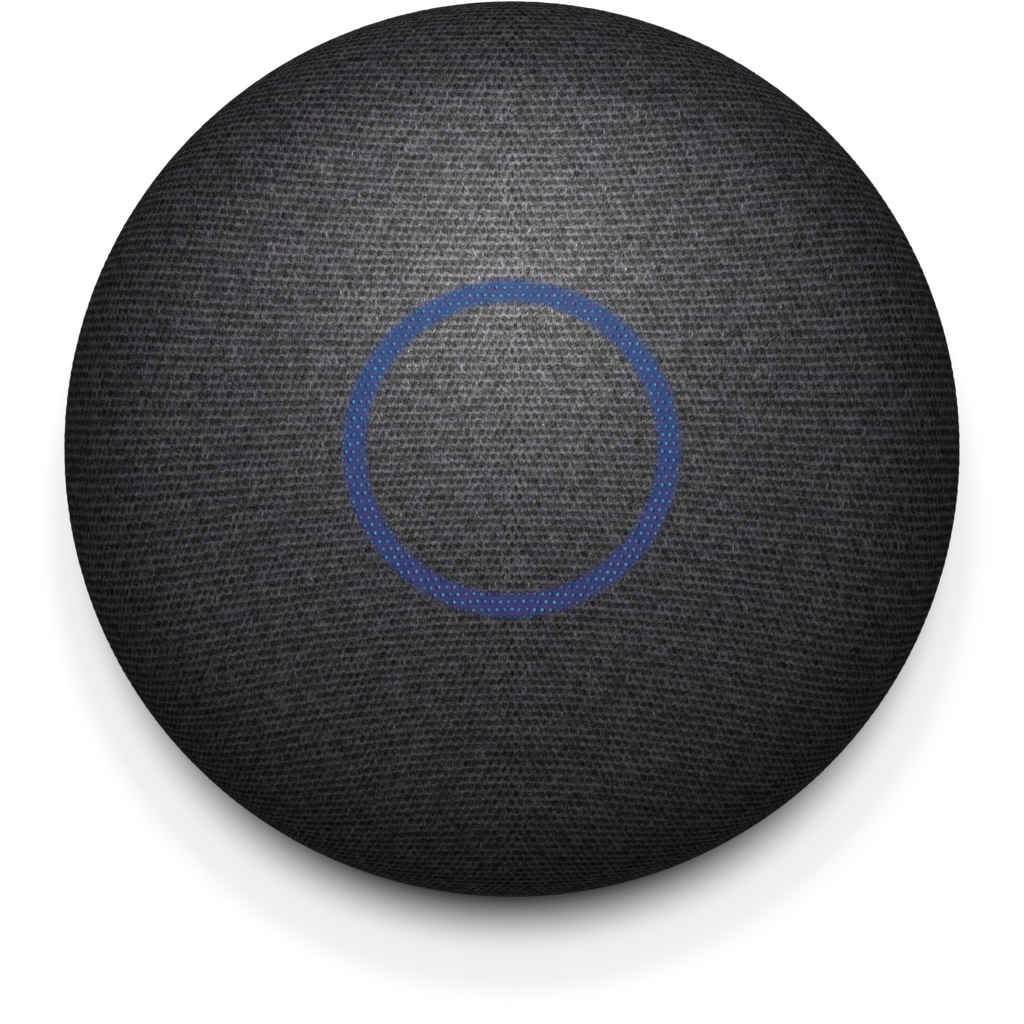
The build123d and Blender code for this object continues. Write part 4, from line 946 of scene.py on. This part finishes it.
# The wire's colour is a painted highlight on each crest and painted shade between two turns; the same wave
# also drives the bump.
crest_and_painted_highlight = 1 - (height / WIRE_PITCH).from_whole() * 2
enamel = winding.noise(winding.place(), scale=2.0, detail=2.0)
dress(
    winding.finish(
        Base_Color=winding.shaded((0.72, 0.33, 0.16, 1.0), 0.55 + 0.5 * crest_and_painted_highlight + 0.1 * enamel),
        Metallic=0.9 + 0.1 * crest_and_painted_highlight,
        Roughness=0.34 - 0.1 * crest_and_painted_highlight + 0.1 * (enamel - 0.5),
        Normal=winding.bump(crest_and_painted_highlight, 0.06 * MM),
    ),
    "voice_coil",
)
print("loudspeaker done")

# %% [markdown]
# ## Lamps and light ring
# Twelve lamps stand in a circle, so the direction in turns, times twelve, tells where each one is. The
# milky ring above them is a little brighter over each lamp.

# %% Lamps
LAMPS = 12
LAMP_CIRCLE = 17.6
lens = Paint("lamp_package")
reach, turn, _ = lens.polar()
lamp_place = turn * LAMPS
beside = (lamp_place - round(lamp_place)) * (math.tau * LAMP_CIRCLE / LAMPS)
from_lens = (beside * beside + (reach - LAMP_CIRCLE) ** 2) ** 0.5
on_lens = from_lens.rises(0.78, 0.7)
contact = abs(beside).rises(0.84, 0.9)
cast = lens.noise(lens.place(), scale=3.0, detail=2.0)
body_colour = lens.mix(contact, (0.80, 0.79, 0.74, 1.0), (0.66, 0.66, 0.66, 1.0))
lens_colour = lens.mix(on_lens, body_colour, (0.78, 0.70, 0.36, 1.0))
dress(
    lens.finish(
        Base_Color=lens.shaded(lens_colour, 0.9 + 0.2 * cast),
        Metallic=0.9 * contact,
        Roughness=0.42 - 0.25 * on_lens + 0.1 * (cast - 0.5),
        Normal=lens.bump(cast, 0.01 * MM),
        Emission_Color=lens.shaded((0.08, 0.25, 1.0, 1.0), on_lens),
        Emission_Strength=1.5,
    ),
    "leds",
)

# %% Light ring
milky = Paint("milky_ring")
_, turn, _ = milky.polar()
# Painted light: the ring's glow is emission that stands for the lamps' light in it, brighter over each
# lamp.
over_lamp = 1 - (turn * LAMPS).from_whole() * 2
cloudy = milky.noise(milky.place(), scale=1.1, detail=3.0)
dress(
    milky.finish(
        Base_Color=milky.shaded((0.76, 0.79, 0.86, 1.0), 0.92 + 0.14 * cloudy),
        Roughness=0.4 + 0.16 * (cloudy - 0.5),
        Normal=milky.bump(cloudy, 0.02 * MM),
        Emission_Color=milky.shaded((0.06, 0.16, 0.9, 1.0), 0.55 + 0.35 * over_lamp + 0.1 * cloudy),
        Emission_Strength=1.0,
    ),
    "light_ring",
)
print("finishes:", len(set(dressed.values())), "on", len(dressed), "nodes")
print("nodes without one:", sorted(set(frame["nodes"]) - set(dressed)))

# %% [markdown]
# ## Studio
# The picture looks straight down on the cover. One soft lamp with a faded edge stands above and a little
# to the rear, so the crown is bright and the cover's edge stays dark. It can't light a wide floor evenly,
# so the floor glows by itself, which also lights the speaker's sides as a white table does. Under the
# speaker the glow fades in a painted shadow, as the light between the two would.

# %% Floor
FLOOR_REACH = 8.0  # metres each way, so that no low view shows its end
SHADE_SHIFT = 6.5  # how far the shade falls towards the front, in mm
DEEP_SHADE = (43.0, 50.6)  # where it starts to fade and where it ends, in mm
FAINT_SHADE = (46.0, 66.0)
FAINT_SHARE = 0.18
floor_mesh = bpy.data.meshes.new("floor")
floor_shape = bmesh.new()
bmesh.ops.create_grid(floor_shape, x_segments=1, y_segments=1, size=FLOOR_REACH)
floor_shape.to_mesh(floor_mesh)
floor_shape.free()
floor = bpy.data.objects.new("floor", floor_mesh)
bpy.context.scene.collection.objects.link(floor)
floor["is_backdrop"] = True

plaster = Paint("floor_paint")
floor_spot = plaster.place()
speckle = plaster.noise(floor_spot, scale=0.02)
x, y, _ = plaster.parts(floor_spot)
# Painted shadow: the floor's glow is dimmed within these rings, round a point shifted towards the front.
shade_reach = (x * x + (y + SHADE_SHIFT) ** 2) ** 0.5
floor_light = (1 - FAINT_SHARE) * shade_reach.rises(*DEEP_SHADE)
floor_light = floor_light + FAINT_SHARE * shade_reach.rises(*FAINT_SHADE)
floor.data.materials.append(
    plaster.finish(
        Base_Color=plaster.mix(speckle, grey(0.13), grey(0.16)),
        Roughness=0.9,
        Emission_Color=plaster.shaded(grey(1.0), floor_light),
        Emission_Strength=1.0,
    )
)
print("floor nodes:", len(plaster.material.node_tree.nodes))

# %% Lamp and surroundings
LAMP_TILT = math.radians(19.5)
LAMP_DISTANCE = 0.3
LAMP_AIM = Vector((-1.8 * MM, 17.5 * MM, TOP))
LAMP_SIZE = 0.04
LAMP_WATTS = 11.6
BEAM_RADIUS = 57.5 * MM
SKY_LIGHT = 0.15
lamp_data = bpy.data.lights.new("lamp", "SPOT")
lamp_data.energy = LAMP_WATTS
lamp_data.spot_size = 2 * math.atan(BEAM_RADIUS / LAMP_DISTANCE)
lamp_data.spot_blend = 1.0
lamp_data.shadow_soft_size = LAMP_SIZE
lamp = bpy.data.objects.new("lamp", lamp_data)
lamp.location = LAMP_AIM + LAMP_DISTANCE * Vector((0, math.sin(LAMP_TILT), math.cos(LAMP_TILT)))
lamp.rotation_euler = (-LAMP_TILT, 0, 0)
lamp.visible_camera = False
bpy.context.scene.collection.objects.link(lamp)

world = bpy.data.worlds.new("studio")
world.use_nodes = True
world.node_tree.nodes["Background"].inputs["Color"].default_value = grey(0.95)
world.node_tree.nodes["Background"].inputs["Strength"].default_value = SKY_LIGHT
bpy.context.scene.world = world
bpy.context.scene.view_settings.view_transform = "Standard"
print("lamp at", [round(part, 3) for part in lamp.location])

# %% Camera
FRAME_WIDTH = 114.4 * MM  # how much of the speaker's widest level the picture shows
CAMERA_HEIGHT = 2.5
CAMERA_SHIFT = -7.04 * MM  # towards the front, so that the floor's shade is in the picture
camera_data = bpy.data.cameras.new("camera")
camera_data.sensor_width = 36.0
camera_data.lens = camera_data.sensor_width * (CAMERA_HEIGHT - WIDEST) / FRAME_WIDTH
camera_data.clip_end = 20.0
camera = bpy.data.objects.new("camera", camera_data)
camera.location = (0, CAMERA_SHIFT, CAMERA_HEIGHT)
bpy.context.scene.collection.objects.link(camera)
bpy.context.scene.camera = camera
print("camera lens in mm:", round(camera_data.lens))

# %% Sizes and end
low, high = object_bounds()
sizes = {"cad": [list(cad_low), list(cad_high)], "visual": [list(low), list(high)]}
print("visual box in mm:", [round(side / MM, 2) for side in high - low])
